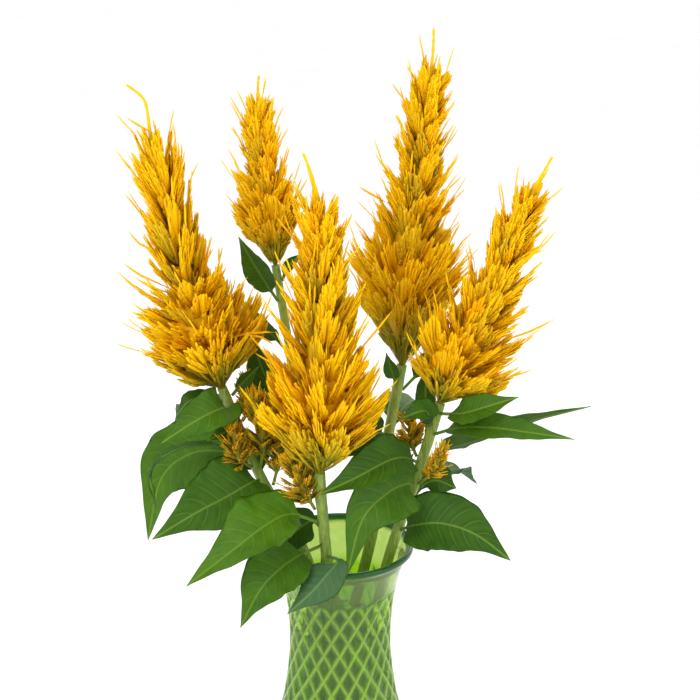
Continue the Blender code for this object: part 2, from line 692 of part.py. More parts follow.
def leaves(collection):
    mat = material("leaf_green", LEAF_GREEN, 0.6)
    for seed, (name, (stalk, height, points, half_width, face, stem_share)) in enumerate(LEAVES.items()):
        points = [Vector(point) for point in points]
        start = seat_on_stalk(stalk, height, points[0], LEAF_STALK_RADIUS)
        obj = leaf("leaf_" + name, [start] + points, half_width, Vector(face), stem_share, seed)
        link(obj, collection, mat)


def main():
    clear_scene()
    collection = new_collection("plume_celosia")
    cutters = new_collection("cutters")
    vase(collection)
    stalks(collection)
    water(collection, cutters)
    plumes(collection)
    shoots(collection)
    leaves(collection)


main()
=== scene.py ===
"""Plume celosia: five cut stems with leaves and side shoots, in a green pressed-glass vase
with water. Metres, +Z up, flowers facing -Y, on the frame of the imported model."""

import math
import random

import bpy
import numpy as np
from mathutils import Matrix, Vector


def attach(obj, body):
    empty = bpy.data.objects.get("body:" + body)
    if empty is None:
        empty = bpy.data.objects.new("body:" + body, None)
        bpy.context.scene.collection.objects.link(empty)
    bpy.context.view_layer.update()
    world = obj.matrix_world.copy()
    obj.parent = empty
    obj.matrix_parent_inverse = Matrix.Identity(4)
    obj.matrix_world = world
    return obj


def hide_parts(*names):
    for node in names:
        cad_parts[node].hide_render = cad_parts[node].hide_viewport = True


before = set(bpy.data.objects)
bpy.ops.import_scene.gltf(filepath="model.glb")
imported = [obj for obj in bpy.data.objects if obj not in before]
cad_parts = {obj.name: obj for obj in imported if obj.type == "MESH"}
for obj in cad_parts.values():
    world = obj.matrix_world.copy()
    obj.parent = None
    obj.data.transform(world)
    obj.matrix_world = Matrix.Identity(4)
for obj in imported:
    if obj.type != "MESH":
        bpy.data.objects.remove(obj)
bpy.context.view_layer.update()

# The camera's view: what it looks at, how far down it looks and from where
TARGET = Vector((0.0084, 0.0, 0.4078))
PITCH = math.radians(17)
DISTANCE = 1.1
SENSOR = 36
LENS = 70.7

# Vase: height and outer radius, read upwards from the foot
VASE_PROFILE = (
    (0.000, 0.0470), (0.006, 0.0510), (0.024, 0.0555), (0.048, 0.0575),
    (0.075, 0.0540), (0.100, 0.0485), (0.130, 0.0444), (0.153, 0.0430),
    (0.185, 0.0447), (0.212, 0.0495), (0.230, 0.0555), (0.238, 0.0595),
)
WALL = 0.0060
FLOOR = 0.0120
RELIEF_BOTTOM = 0.012
RELIEF_TOP = 0.204
RELIEF_DEPTH = 0.0021
DIAMONDS = 20
DIAMOND_HEIGHT = 0.024
WATER_LEVEL = 0.168
SEAT = 0.0003

# The vase's foot and its rim: radius, height, and for the rim its share of dark colour
FOOT_ROUND = ((0.0, 0.0012), (0.018, 0.0012), (0.036, 0.0010), (0.042, 0.0),
              (0.0460, 0.0), (0.0475, 0.0008), (0.0490, 0.003), (0.0508, 0.006))
RIM_ROUND = ((0.0557, 0.2305, 0.1), (0.0577, 0.2340, 0.5), (0.0598, 0.2345, 0.9),
             (0.0610, 0.2352, 1), (0.0615, 0.2368, 1), (0.0615, 0.2384, 1), (0.0609, 0.2395, 1),
             (0.0599, 0.2400, 1), (0.0586, 0.2399, 1), (0.0573, 0.2392, 1),
             (0.0562, 0.2378, 0.8), (0.0545, 0.2350, 0.4), (0.0522, 0.2310, 0.1))
VASE_COLUMNS = 200
OUTSIDE_ROWS = 128
INSIDE_ROWS = 60
WATER_ROWS = 40
WATER_COLUMNS = 72
INTO_WALL = 0.00025

# Stalks: centre line from the vase's mouth to the plume, radius at the foot and the top
STALKS = {
    "front": (
        [(-0.009, -0.038, 0.235), (-0.013, -0.049, 0.285), (-0.015, -0.055, 0.325)],
        0.0050, 0.0042),
    "left": (
        [(-0.028, -0.015, 0.235), (-0.064, -0.019, 0.307), (-0.093, -0.020, 0.383)],
        0.0048, 0.0040),
    "right": (
        [(0.041, -0.014, 0.235), (0.061, -0.020, 0.303), (0.080, -0.020, 0.370)],
        0.0048, 0.0042),
    "back_right": (
        [(0.027, 0.022, 0.235), (0.039, 0.036, 0.310), (0.052, 0.046, 0.381)],
        0.0050, 0.0044),
    "back_left": (
        [(-0.014, 0.036, 0.235), (-0.035, 0.054, 0.345), (-0.054, 0.070, 0.461)],
        0.0045, 0.0036),
}
SPIRAL = math.radians(115)
FOOT_SPREAD = 0.029
FOOT_HEIGHT = 0.0138

# Plumes: axis above the stalk's end, the thread that ends it, widest radius,
# where along the axis it is widest, and the number of side branches
PLUMES = {
    "front": (
        [(-0.013, -0.057, 0.385), (-0.013, -0.055, 0.464), (-0.015, -0.050, 0.540)],
        [(-0.020, -0.050, 0.558), (-0.026, -0.050, 0.574)],
        0.055, 0.36, 116,
    ),
    "left": (
        [(-0.107, -0.021, 0.430), (-0.120, -0.023, 0.479), (-0.140, -0.030, 0.586)],
        [(-0.143, -0.030, 0.609), (-0.156, -0.030, 0.621)],
        0.055, 0.38, 112,
    ),
    "right": (
        [(0.098, -0.020, 0.411), (0.122, -0.018, 0.468), (0.148, -0.013, 0.540)],
        [(0.155, -0.013, 0.552), (0.162, -0.012, 0.565)],
        0.047, 0.38, 96,
    ),
    "back_right": (
        [(0.056, 0.055, 0.454), (0.064, 0.057, 0.536), (0.073, 0.054, 0.626)],
        [(0.074, 0.053, 0.641), (0.074, 0.052, 0.656)],
        0.050, 0.42, 114,
    ),
    "back_left": (
        [(-0.059, 0.070, 0.510), (-0.065, 0.071, 0.553), (-0.066, 0.072, 0.598)],
        [(-0.066, 0.072, 0.608), (-0.065, 0.072, 0.6175)],
        0.031, 0.42, 66,
    ),
}
FOOT_REACH = 0.18
TOP_TAPER = 0.72
TAPER_BEND = 0.80
CORE_SHARE = 0.44
REACH_SPREAD = (0.84, 1.06)
RADIUS_SPREAD = (0.85, 1.15)
TURN_SPREAD = 0.25
TIP_LIFT = (0.002, 0.012)
TIP_SPACING = 1.12
DROP_SHARE = 0.70
DROP_LEAST = 0.010
FIRST_ROOT = 0.009
LOWEST_TIP = 0.07
GOLDEN_ANGLE = math.radians(137.5)
BACK = Vector((0.2, 1.0, 0.1))

# Long prongs that stand out from a plume: depth, half width, then points from its surface
# to the tip, as metres right of and above the middle of the camera's view
PRONGS = {
    "left": (
        (-0.036, 0.0011, (-0.093, 0.010), (-0.077, 0.014), (-0.059, 0.014)),
        (-0.036, 0.0010, (-0.080, 0.013), (-0.074, 0.019), (-0.070, 0.028)),
        (-0.036, 0.0009, (-0.082, 0.012), (-0.070, 0.010), (-0.061, 0.004)),
        (-0.024, 0.0010, (-0.157, 0.055), (-0.170, 0.061), (-0.182, 0.070)),
        (-0.024, 0.0009, (-0.160, 0.081), (-0.170, 0.086), (-0.178, 0.096)),
        (-0.026, 0.0009, (-0.162, 0.176), (-0.171, 0.181), (-0.179, 0.186)),
        (-0.024, 0.0009, (-0.152, 0.048), (-0.163, 0.052), (-0.173, 0.059)),
    ),
    "front": (
        (-0.056, 0.0010, (-0.050, -0.019), (-0.062, -0.011), (-0.077, -0.002)),
        (-0.056, 0.0010, (-0.053, 0.018), (-0.058, 0.024), (-0.066, 0.033)),
        (-0.052, 0.0010, (-0.032, 0.109), (-0.038, 0.114), (-0.045, 0.122)),
        (-0.052, 0.0010, (-0.007, 0.094), (-0.002, 0.101), (0.002, 0.110)),
        (-0.056, 0.0010, (0.013, 0.006), (0.024, 0.019), (0.034, 0.032)),
    ),
    "right": (
        (-0.020, 0.0010, (0.130, 0.010), (0.147, 0.016), (0.166, 0.026)),
        (-0.018, 0.0009, (0.136, 0.074), (0.146, 0.080), (0.156, 0.085)),
    ),
    "back_right": ((0.055, 0.0010, (0.022, 0.122), (0.015, 0.126), (0.007, 0.131)),),
    "back_left": ((0.070, 0.0009, (-0.055, 0.141), (-0.054, 0.148), (-0.056, 0.156)),),
}

# Side shoots: stalk, height where they leave it, points to the tip, head radius
SHOOTS = {
    "left_high": ("left", 0.352, [(-0.074, -0.012, 0.362), (-0.077, -0.008, 0.392)], 0.0066),
    "left_mid": ("left", 0.316, [(-0.061, -0.028, 0.340), (-0.066, -0.034, 0.383)], 0.0100),
    "left_inner": ("left", 0.296, [(-0.049, -0.014, 0.324), (-0.053, -0.012, 0.370)], 0.0105),
    "left_low": ("left", 0.318, [(-0.080, -0.034, 0.330), (-0.083, -0.042, 0.362)], 0.0078),
    "front": ("front", 0.292, [(-0.027, -0.053, 0.308), (-0.040, -0.056, 0.343)], 0.0110),
    "right_slender": ("right", 0.304, [(0.075, -0.037, 0.320), (0.082, -0.050, 0.346)], 0.0048),
    "right_inner": ("right", 0.322, [(0.058, -0.012, 0.334), (0.057, -0.010, 0.358)], 0.0074),
}

# Leaves: stalk, height where they leave it, points to the tip, half width,
# the direction that the upper face looks in, and the share that is leaf stalk
LEAVES = {
    "front_low_left": ( "front", 0.282, [(-0.039, -0.066, 0.294), (-0.058, -0.080, 0.290),
        (-0.080, -0.093, 0.277), (-0.116, -0.105, 0.252)], 0.029, (-0.2, -0.6, 0.8), 0.14),
    "front_over_rim": ( "front", 0.260, [(-0.031, -0.068, 0.260), (-0.045, -0.080, 0.255),
        (-0.061, -0.087, 0.240), (-0.077, -0.090, 0.209)], 0.026, (-0.4, -0.8, 0.5), 0.19),
    "front_rim_under": ( "front", 0.249, [(-0.001, -0.069, 0.256), (-0.010, -0.087, 0.252),
        (-0.022, -0.097, 0.242), (-0.040, -0.098, 0.225)], 0.016, (0.3, 0.9, -0.2), 0.22),
    "front_under": ( "front", 0.274, [(-0.022, -0.040, 0.277), (-0.034, -0.043, 0.270),
        (-0.050, -0.051, 0.256), (-0.068, -0.059, 0.237)], 0.017, (-0.3, -0.8, 0.5), 0.16),
    "left_big": ( "left", 0.306, [(-0.071, -0.036, 0.308), (-0.090, -0.046, 0.300),
        (-0.113, -0.054, 0.290), (-0.147, -0.062, 0.271)], 0.031, (-0.1, -0.8, 0.6), 0.10),
    "left_arching": ( "left", 0.322, [(-0.095, -0.008, 0.324), (-0.123, 0.002, 0.318),
        (-0.148, 0.006, 0.294), (-0.161, 0.004, 0.240)], 0.030, (-0.3, -0.8, 0.4), 0.16),
    "left_drop": ( "left", 0.332, [(-0.099, -0.022, 0.335), (-0.128, -0.026, 0.333),
        (-0.150, -0.030, 0.316), (-0.147, -0.032, 0.277)], 0.007, (-0.1, 0.0, 1.0), 0.20),
    "left_shade": ( "left", 0.296, [(-0.070, 0.004, 0.312), (-0.092, 0.014, 0.312),
        (-0.116, 0.022, 0.296)], 0.020, (-0.2, -0.7, 0.7), 0.16),
    "left_upper": ( "left", 0.366, [(-0.091, -0.044, 0.374), (-0.110, -0.056, 0.368),
        (-0.137, -0.060, 0.351)], 0.018, (-0.1, -0.8, 0.5), 0.08),
    "left_curled": ( "left", 0.373, [(-0.103, -0.026, 0.375), (-0.117, -0.032, 0.376),
        (-0.128, -0.034, 0.364)], 0.009, (-0.2, -0.5, 0.8), 0.20),
    "left_small": ( "left", 0.374, [(-0.076, -0.014, 0.386), (-0.064, -0.012, 0.398)], 0.006,
        (0.3, -0.8, 0.3), 0.20),
    "left_inner": ( "left", 0.346, [(-0.089, -0.026, 0.348), (-0.104, -0.036, 0.344)], 0.008,
        (-0.1, -0.9, 0.4), 0.15),
    "left_back": ( "left", 0.350, [(-0.100, 0.008, 0.356), (-0.122, 0.034, 0.350),
        (-0.142, 0.058, 0.326)], 0.018, (-0.3, 0.3, 0.9), 0.18),
    "back_left_high": ( "back_left", 0.432, [(-0.061, 0.056, 0.448), (-0.071, 0.048, 0.468),
        (-0.082, 0.042, 0.491)], 0.012, (-0.2, -0.9, 0.1), 0.18),
    "back_left_side": ( "back_left", 0.392, [(-0.056, 0.054, 0.404), (-0.066, 0.046, 0.418),
        (-0.075, 0.042, 0.436)], 0.008, (-0.3, -0.9, 0.2), 0.20),
    "back_left_long": ( "back_left", 0.308, [(-0.040, 0.040, 0.322), (-0.053, 0.034, 0.354),
        (-0.066, 0.030, 0.388), (-0.072, 0.026, 0.416)], 0.018, (-0.2, -0.9, 0.3), 0.14),
    "back_left_shade": ( "back_left", 0.274, [(-0.026, 0.030, 0.290), (-0.036, 0.024, 0.318),
        (-0.047, 0.020, 0.350)], 0.017, (-0.2, -0.9, 0.3), 0.16),
    "back_left_strip": ( "back_left", 0.448, [(-0.043, 0.062, 0.462), (-0.030, 0.058, 0.474)],
        0.005, (0.2, -0.8, 0.4), 0.20),
    "back_left_rear": ( "back_left", 0.338, [(-0.046, 0.082, 0.352), (-0.062, 0.106, 0.350),
        (-0.078, 0.130, 0.330)], 0.020, (-0.3, 0.4, 0.8), 0.16),
    "back_left_low": ( "back_left", 0.280, [(-0.034, 0.066, 0.294), (-0.044, 0.090, 0.290),
        (-0.052, 0.114, 0.268)], 0.021, (-0.2, 0.5, 0.8), 0.16),
    "centre_dark": ( "back_right", 0.322, [(0.028, 0.020, 0.330), (0.014, 0.012, 0.325),
        (-0.006, 0.006, 0.311)], 0.019, (-0.2, -0.9, 0.4), 0.12),
    "centre_big": ( "right", 0.320, [(0.051, -0.037, 0.330), (0.037, -0.053, 0.333),
        (0.012, -0.073, 0.327), (-0.016, -0.087, 0.319)], 0.021, (0.0, -0.7, 0.7), 0.08),
    "centre_low": ( "right", 0.301, [(0.053, -0.036, 0.307), (0.038, -0.052, 0.306),
        (0.018, -0.067, 0.290), (0.006, -0.074, 0.246)], 0.026, (0.1, -0.9, 0.4), 0.08),
    "right_big": ( "right", 0.262, [(0.059, -0.038, 0.272), (0.081, -0.047, 0.278),
        (0.108, -0.053, 0.271), (0.136, -0.056, 0.250)], 0.026, (0.0, -0.8, 0.6), 0.13),
    "right_inner": ( "right", 0.299, [(0.078, -0.016, 0.302), (0.095, -0.013, 0.294)], 0.015,
        (0.3, -0.8, 0.5), 0.14),
    "right_small": ( "right", 0.352, [(0.067, -0.037, 0.369), (0.048, -0.046, 0.366)], 0.011,
        (-0.1, -0.7, 0.7), 0.16),
    "right_curled": ( "right", 0.363, [(0.095, -0.048, 0.371), (0.113, -0.058, 0.380),
        (0.137, -0.061, 0.389)], 0.013, (0.0, -0.7, 0.7), 0.14),
    "right_long": ( "right", 0.346, [(0.092, -0.046, 0.358), (0.118, -0.056, 0.362),
        (0.148, -0.059, 0.359), (0.182, -0.057, 0.353)], 0.013, (0.0, -0.6, 0.8), 0.12),
    "right_far": ( "right", 0.316, [(0.084, -0.004, 0.323), (0.110, 0.004, 0.328),
        (0.152, 0.010, 0.342), (0.206, 0.012, 0.356)], 0.016, (-0.2, -0.1, 1.0), 0.22),
    "right_upright": ( "right", 0.336, [(0.071, 0.000, 0.352), (0.070, 0.010, 0.372),
        (0.074, 0.018, 0.393)], 0.009, (-0.2, -0.9, 0.1), 0.16),
    "right_rear": ( "right", 0.284, [(0.074, 0.008, 0.292), (0.096, 0.032, 0.292),
        (0.118, 0.050, 0.272)], 0.020, (0.2, 0.2, 1.0), 0.16),
    "back_right_small": ( "back_right", 0.366, [(0.043, 0.032, 0.380), (0.038, 0.024, 0.398)],
        0.007, (-0.2, -0.9, 0.2), 0.18),
    "back_right_side": ( "back_right", 0.360, [(0.070, 0.058, 0.372), (0.090, 0.070, 0.378),
        (0.108, 0.082, 0.372)], 0.014, (0.1, -0.3, 0.9), 0.18),
    "back_right_rear": ( "back_right", 0.318, [(0.052, 0.066, 0.332), (0.066, 0.096, 0.332),
        (0.078, 0.126, 0.310)], 0.022, (0.2, 0.4, 0.9), 0.16),
    "back_right_low": ( "back_right", 0.272, [(0.040, 0.056, 0.284), (0.048, 0.082, 0.280),
        (0.050, 0.106, 0.256)], 0.020, (0.1, 0.5, 0.9), 0.16),
}
LEAF_STALK_RADIUS = 0.0013
BLADE = 0.0006
FOLD = math.radians(20)
WAVE = 0.09
WAVE_COUNT = 2.5

# How light each leaf is against the others: partly the leaves' own tone, partly painted shade on
# the leaves that sit back in the others' shadow; the rest are as they come
LEAF_TONE_AND_SHADE = {
    "front_low_left": 0.85, "left_arching": 0.8, "left_big": 0.35, "front_over_rim": 0.6,
    "front_rim_under": 0.3, "centre_big": 0.25, "centre_low": 0.55, "right_big": 0.12,
    "centre_dark": 0.0, "front_under": 0.15, "left_shade": 0.2, "back_left_shade": 0.1,
    "back_left_long": 0.15, "left_upper": 0.6, "back_left_high": 0.5,
}


# Curves

def lerp(start, end, share):
    return start + (end - start) * share


def smoothstep(value):
    value = min(max(value, 0.0), 1.0)
    return value * value * (3 - 2 * value)


def smooth(points, share):
    """The point at a share from 0 to 1 of a smooth curve through the given points."""
    last = len(points) - 1
    place = min(max(share, 0.0), 1.0) * last
    index = min(int(place), last - 1)
    step = place - index
    p1, p2 = points[index], points[index + 1]
    p0 = points[index - 1] if index else p1 * 2 - p2
    p3 = points[index + 2] if index + 2 <= last else p2 * 2 - p1
    return 0.5 * (
        p1 * 2 + (p2 - p0) * step
        + (p0 * 2 - p1 * 5 + p2 * 4 - p3) * step ** 2
        + (p1 * 3 - p0 - p2 * 3 + p3) * step ** 3
    )


def direction(points, share):
    return (smooth(points, share + 0.01) - smooth(points, share - 0.01)).normalized()


def across(tangent, hint):
    """Two directions square to the tangent: one sideways, one on the hint's side."""
    up = (hint - tangent * hint.dot(tangent)).normalized()
    return tangent.cross(up), up


def vase_radius(height):
    """Outer radius of the vase's body, smooth between the profile's points."""
    knots = VASE_PROFILE
    index = next((i for i in range(len(knots) - 2) if height < knots[i + 1][0]), len(knots) - 2)
    (z0, r0), (z1, r1) = knots[index], knots[index + 1]

    def slope(i):
        a, b = knots[max(i - 1, 0)], knots[min(i + 1, len(knots) - 1)]
        return (b[1] - a[1]) / (b[0] - a[0])

    step = (height - z0) / (z1 - z0)
    span = z1 - z0
    return (
        (2 * step ** 3 - 3 * step ** 2 + 1) * r0
        + (step ** 3 - 2 * step ** 2 + step) * span * slope(index)
        + (3 * step ** 2 - 2 * step ** 3) * r1
        + (step ** 3 - step ** 2) * span * slope(index + 1)
    )


def view_lead():
    return Vector((0, math.cos(PITCH), -math.sin(PITCH)))


def seen_at(right, above, depth):
    """The point at a depth (y) that the camera sees this far from its view's middle."""
    eye = TARGET - DISTANCE * view_lead()
    ray = DISTANCE * view_lead() + Vector((right, above * math.sin(PITCH), above * math.cos(PITCH)))
    return eye + ray * ((depth - eye.y) / ray.y)


def stalk_route(name):
    points = [Vector(point) for point in STALKS[name][0]]
    mouth = points[0]
    turn = math.atan2(mouth.y, mouth.x) + SPIRAL
    foot = Vector((FOOT_SPREAD * math.cos(turn), FOOT_SPREAD * math.sin(turn), FOOT_HEIGHT))
    return [foot, foot.lerp(mouth, 1 / 3), foot.lerp(mouth, 2 / 3)] + points


def seat_on_stalk(name, height, toward, radius):
    """Where a side stem of the given radius starts, just clear of its stalk."""
    points = stalk_route(name)
    low, high = 0.0, 1.0
    for _ in range(30):
        middle = (low + high) / 2
        if smooth(points, middle).z < height:
            low = middle
        else:
            high = middle
    _, thick, thin = STALKS[name]
    centre, tangent = smooth(points, low), direction(points, low)
    lead = toward - centre
    outward = (lead - tangent * lead.dot(tangent)).normalized()
    slant = math.sqrt(max(1 - lead.normalized().dot(outward) ** 2, 0.0))
    return centre + outward * (lerp(thick, thin, low) + SEAT + radius * slant)


def plume_reach(share, widest, peak):
    """Radius that a plume's fans reach at a share of its axis."""
    if share < peak:
        return widest * lerp(FOOT_REACH, 1.0, math.sin(math.pi / 2 * max(share, 0) / peak))
    return widest * (1 - TOP_TAPER * ((min(share, 1.0) - peak) / (1 - peak)) ** TAPER_BEND)


# Modelling

def wrap(name, columns, rows, place, marks=()):
    """A closed skin: a grid laid round place(column share, row), merged along its seam.
    place gives the point, then a value for each mark."""
    bpy.ops.object.select_all(action="DESELECT")
    bpy.ops.mesh.primitive_grid_add(x_subdivisions=columns, y_subdivisions=rows, size=1)
    obj = bpy.context.object
    obj.name = obj.data.name = name
    mesh = obj.data
    for mark in marks:
        mesh.attributes.new(mark, "FLOAT", "POINT")
    layers = [mesh.attributes[mark].data for mark in marks]
    for index, vert in enumerate(mesh.vertices):
        column = round((vert.co.x + 0.5) * columns)
        row = round((vert.co.y + 0.5) * rows)
        point, *values = place((column % columns) / columns, row)
        vert.co = point
        for layer, value in zip(layers, values):
            layer[index].value = value
    bpy.ops.object.mode_set(mode="EDIT")
    bpy.ops.mesh.select_all(action="SELECT")
    bpy.ops.mesh.remove_doubles(threshold=0.0000005)
    bpy.ops.mesh.normals_make_consistent(inside=False)
    bpy.ops.object.mode_set(mode="OBJECT")
    mesh.shade_smooth()
    return obj


def finish_piece(obj, mat, node):
    obj.data.materials.clear()
    obj.data.materials.append(mat)
    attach(obj, "root")
    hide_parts(node)


# Materials

class Finish:
    """Short hand for a node material with one Principled shader."""

    def __init__(self, name, **values):
        self.mat = bpy.data.materials.new(name)
        self.mat.use_nodes = True
        self.nodes = self.mat.node_tree.nodes
        self.links = self.mat.node_tree.links
        self.shader = self.nodes["Principled BSDF"]
        for socket, value in values.items():
            self.shader.inputs[socket.replace("_", " ")].default_value = value

    def put(self, target, value):
        if isinstance(value, bpy.types.NodeSocket):
            self.links.new(value, target)
        else:
            target.default_value = value

    def attribute(self, name):
        node = self.nodes.new("ShaderNodeAttribute")
        node.attribute_name = name
        return node.outputs["Fac"]

    def place(self, scale):
        coords = self.nodes.new("ShaderNodeTexCoord")
        mapping = self.nodes.new("ShaderNodeMapping")
        mapping.inputs["Scale"].default_value = scale
        self.links.new(coords.outputs["Object"], mapping.inputs["Vector"])
        return mapping.outputs["Vector"]

    def noise(self, scale, detail=2.0, rough=0.5, vector=None):
        node = self.nodes.new("ShaderNodeTexNoise")
        node.inputs["Scale"].default_value = scale
        node.inputs["Detail"].default_value = detail
        node.inputs["Roughness"].default_value = rough
        self.links.new(vector or self.place((1, 1, 1)), node.inputs["Vector"])
        return node.outputs["Fac"]

    def maths(self, operation, *values, clamp=False):
        node = self.nodes.new("ShaderNodeMath")
        node.operation = operation
        node.use_clamp = clamp
        for target, value in zip(node.inputs, values):
            self.put(target, value)
        return node.outputs[0]

    def reach(self, value, low, high, to_low=0.0, to_high=1.0):
        node = self.nodes.new("ShaderNodeMapRange")
        node.interpolation_type = "SMOOTHSTEP"
        self.put(node.inputs["Value"], value)
        sockets = {"From Min": low, "From Max": high, "To Min": to_low, "To Max": to_high}
        for socket, number in sockets.items():
            self.put(node.inputs[socket], number)
        return node.outputs["Result"]

    def mix(self, share, low, high, blend="MIX"):
        node = self.nodes.new("ShaderNodeMix")
        node.data_type = "RGBA"
        node.blend_type = blend
        self.put(node.inputs["Factor"], share)
        self.put(node.inputs[6], low)
        self.put(node.inputs[7], high)
        return node.outputs[2]

    def ramp(self, value, *stops):
        node = self.nodes.new("ShaderNodeValToRGB")
        elements = node.color_ramp.elements
        while len(elements) < len(stops):
            elements.new(0.5)
        for element, (place, colour) in zip(elements, stops):
            element.position = place
            element.color = (*colour, 1)
        self.put(node.inputs["Fac"], value)
        return node.outputs["Color"]

    def bump(self, height, strength, distance):
        node = self.nodes.new("ShaderNodeBump")
        node.inputs["Strength"].default_value = strength
        node.inputs["Distance"].default_value = distance
        self.put(node.inputs["Height"], height)
        self.links.new(node.outputs["Normal"], self.shader.inputs["Normal"])

    def colour(self, value):
        self.put(self.shader.inputs["Base Color"], value)

    def rough(self, value):
        self.put(self.shader.inputs["Roughness"], value)


def glass_finish():
    """Yellow-green glass: pale in the plain band, dark at the rim, and on the ridges a painted
    highlight, lighter and less clear.
    """
    finish = Finish("pressed_green_glass", Metallic=0.0, IOR=1.45, Specular_IOR_Level=0.3)
    ridge_highlight = finish.attribute("ridge_highlight")
    rim = finish.reach(finish.attribute("rim"), 0.2, 0.9)
    swirl = finish.noise(22, 3)
    body = finish.ramp(swirl, (0.25, (0.17, 0.42, 0.003)), (0.75, (0.27, 0.54, 0.008)))
    body = finish.mix(finish.attribute("band"), body, (0.42, 0.60, 0.13, 1))
    # Painted highlight: the ridges get a light green, standing in for light catching their edges
    body = finish.mix(finish.maths("MULTIPLY", ridge_highlight, 0.9), body, (0.46, 0.74, 0.07, 1))
    finish.colour(finish.mix(rim, body, (0.012, 0.12, 0.008, 1)))
    # Less clear on the ridges: part of the same painted highlight
    clear = finish.maths("SUBTRACT", 0.90, finish.maths("MULTIPLY", ridge_highlight, 0.30))
    clear = finish.maths("SUBTRACT", clear, finish.maths("MULTIPLY", rim, 0.40), clamp=True)
    finish.put(finish.shader.inputs["Transmission Weight"], clear)
    finish.rough(finish.reach(finish.noise(60, 2), 0.3, 0.8, 0.03, 0.09))
    return finish.mat


def water_finish():
    finish = Finish("vase_water", Metallic=0.0, IOR=1.333, Transmission_Weight=1.0, Roughness=0.0)
    swirl = finish.noise(20, 2)
    finish.colour(finish.ramp(swirl, (0.3, (0.90, 0.97, 0.74)), (0.7, (0.95, 0.99, 0.82))))
    return finish.mat


def stalk_finish():
    finish = Finish("stalk_green", Metallic=0.0, Specular_IOR_Level=0.4)
    streak = finish.noise(900, 3, 0.6, finish.place((1, 1, 0.035)))
    patch = finish.noise(45, 2)
    green = finish.ramp(streak, (0.30, (0.110, 0.200, 0.022)), (0.52, (0.190, 0.300, 0.035)),
                        (0.72, (0.380, 0.460, 0.100)))
    finish.colour(finish.mix(finish.reach(patch, 0.45, 0.75, 0, 0.5), green, (0.33, 0.37, 0.06, 1)))
    finish.rough(finish.reach(streak, 0.3, 0.7, 0.42, 0.55))
    finish.bump(streak, 0.35, 0.0006)
    return finish.mat


def leaf_finish():
    finish = Finish("leaf_green", Metallic=0.0, Specular_IOR_Level=0.15)
    vein = finish.attribute("vein")
    beside = finish.attribute("across")
    under = finish.attribute("under")
    light = finish.attribute("tone_and_shade")
    from_vein = finish.maths("PINGPONG", vein, 0.5)
    side_vein = finish.reach(from_vein, 0.010, 0.085, 1.0, 0.0)
    fade = finish.reach(beside, 0.50, 0.95, 1.0, 0.0)
    side_vein = finish.maths("MULTIPLY", side_vein, fade)
    midrib = finish.reach(finish.attribute("beside_rib"), 0.0004, 0.0012, 1.0, 0.0)
    lines = finish.maths("MAXIMUM", finish.maths("MULTIPLY", side_vein, 0.45), midrib)
    mottle = finish.noise(70, 4, 0.6)
    fine = finish.noise(700, 3, 0.6)
    # Dark and pale copies of one green, mixed by each leaf's share: partly its own tone, partly
    # painted shade
    dark = finish.ramp(mottle, (0.30, (0.012, 0.054, 0.003)), (0.70, (0.026, 0.086, 0.004)))
    pale = finish.ramp(mottle, (0.30, (0.046, 0.135, 0.004)), (0.70, (0.076, 0.190, 0.006)))
    blade = finish.mix(light, dark, pale)
    between = finish.reach(from_vein, 0.1, 0.5, 0.0, 0.22)
    blade = finish.mix(between, blade, (0.064, 0.160, 0.005, 1))
    blade = finish.mix(finish.reach(fine, 0.4, 0.7, 0.0, 0.15), blade, (0.016, 0.052, 0.002, 1))
    blade = finish.mix(finish.maths("MULTIPLY", lines, 0.55), blade, (0.16, 0.27, 0.03, 1))
    below = finish.mix(finish.maths("MULTIPLY", lines, 0.6),
                       (0.048, 0.115, 0.040, 1), (0.13, 0.23, 0.08, 1))
    finish.colour(finish.mix(under, blade, below))
    finish.rough(finish.reach(mottle, 0.3, 0.7, 0.44, 0.58))
    height = finish.maths("SUBTRACT", finish.maths("MULTIPLY", fine, 0.3), lines)
    finish.bump(height, 0.45, 0.0004)
    return finish.mat


def plume_finish(name, golds, stem):
    """Golden strands: darker at their roots and deep in the fans, which is painted shade, bright at
    their tips, pale green near the stem.
    """
    finish = Finish(name, Metallic=0.0, Specular_IOR_Level=0.06, Subsurface_Weight=0.3,
                    Subsurface_Radius=(0.0040, 0.0026, 0.0006), Subsurface_Scale=1.0)
    tone = finish.attribute("tone")
    fine = finish.noise(420, 3, 0.6)
    patch = finish.noise(38, 2)
    # The gold ramp's place: low is the painted shade of roots and crevices, high the bright tips;
    # the noise adds random tone
    glow = finish.maths("ADD", finish.attribute("glow"), finish.reach(fine, 0.3, 0.7, -0.08, 0.08))
    glow = finish.maths("ADD", glow, finish.reach(patch, 0.3, 0.7, -0.10, 0.08), clamp=True)
    gold = finish.ramp(glow, *golds)
    gold = finish.mix(finish.reach(tone, 0.5, 1.0, 0.0, 0.60), gold, (1.0, 0.38, 0.001, 1))
    gold = finish.mix(finish.reach(tone, 0.5, 0.0, 0.0, 0.55), gold, (1.0, 0.64, 0.004, 1))
    finish.colour(finish.mix(finish.attribute("green"), gold, (*stem, 1)))
    finish.rough(finish.reach(fine, 0.3, 0.7, 0.50, 0.70))
    return finish.mat


# The vase and its water

def inner_wall(height):
    return vase_radius(height) - WALL


FLOOR_EDGE = vase_radius(FLOOR) - 2 * WALL
LOWEST_WALL = FLOOR + 0.012


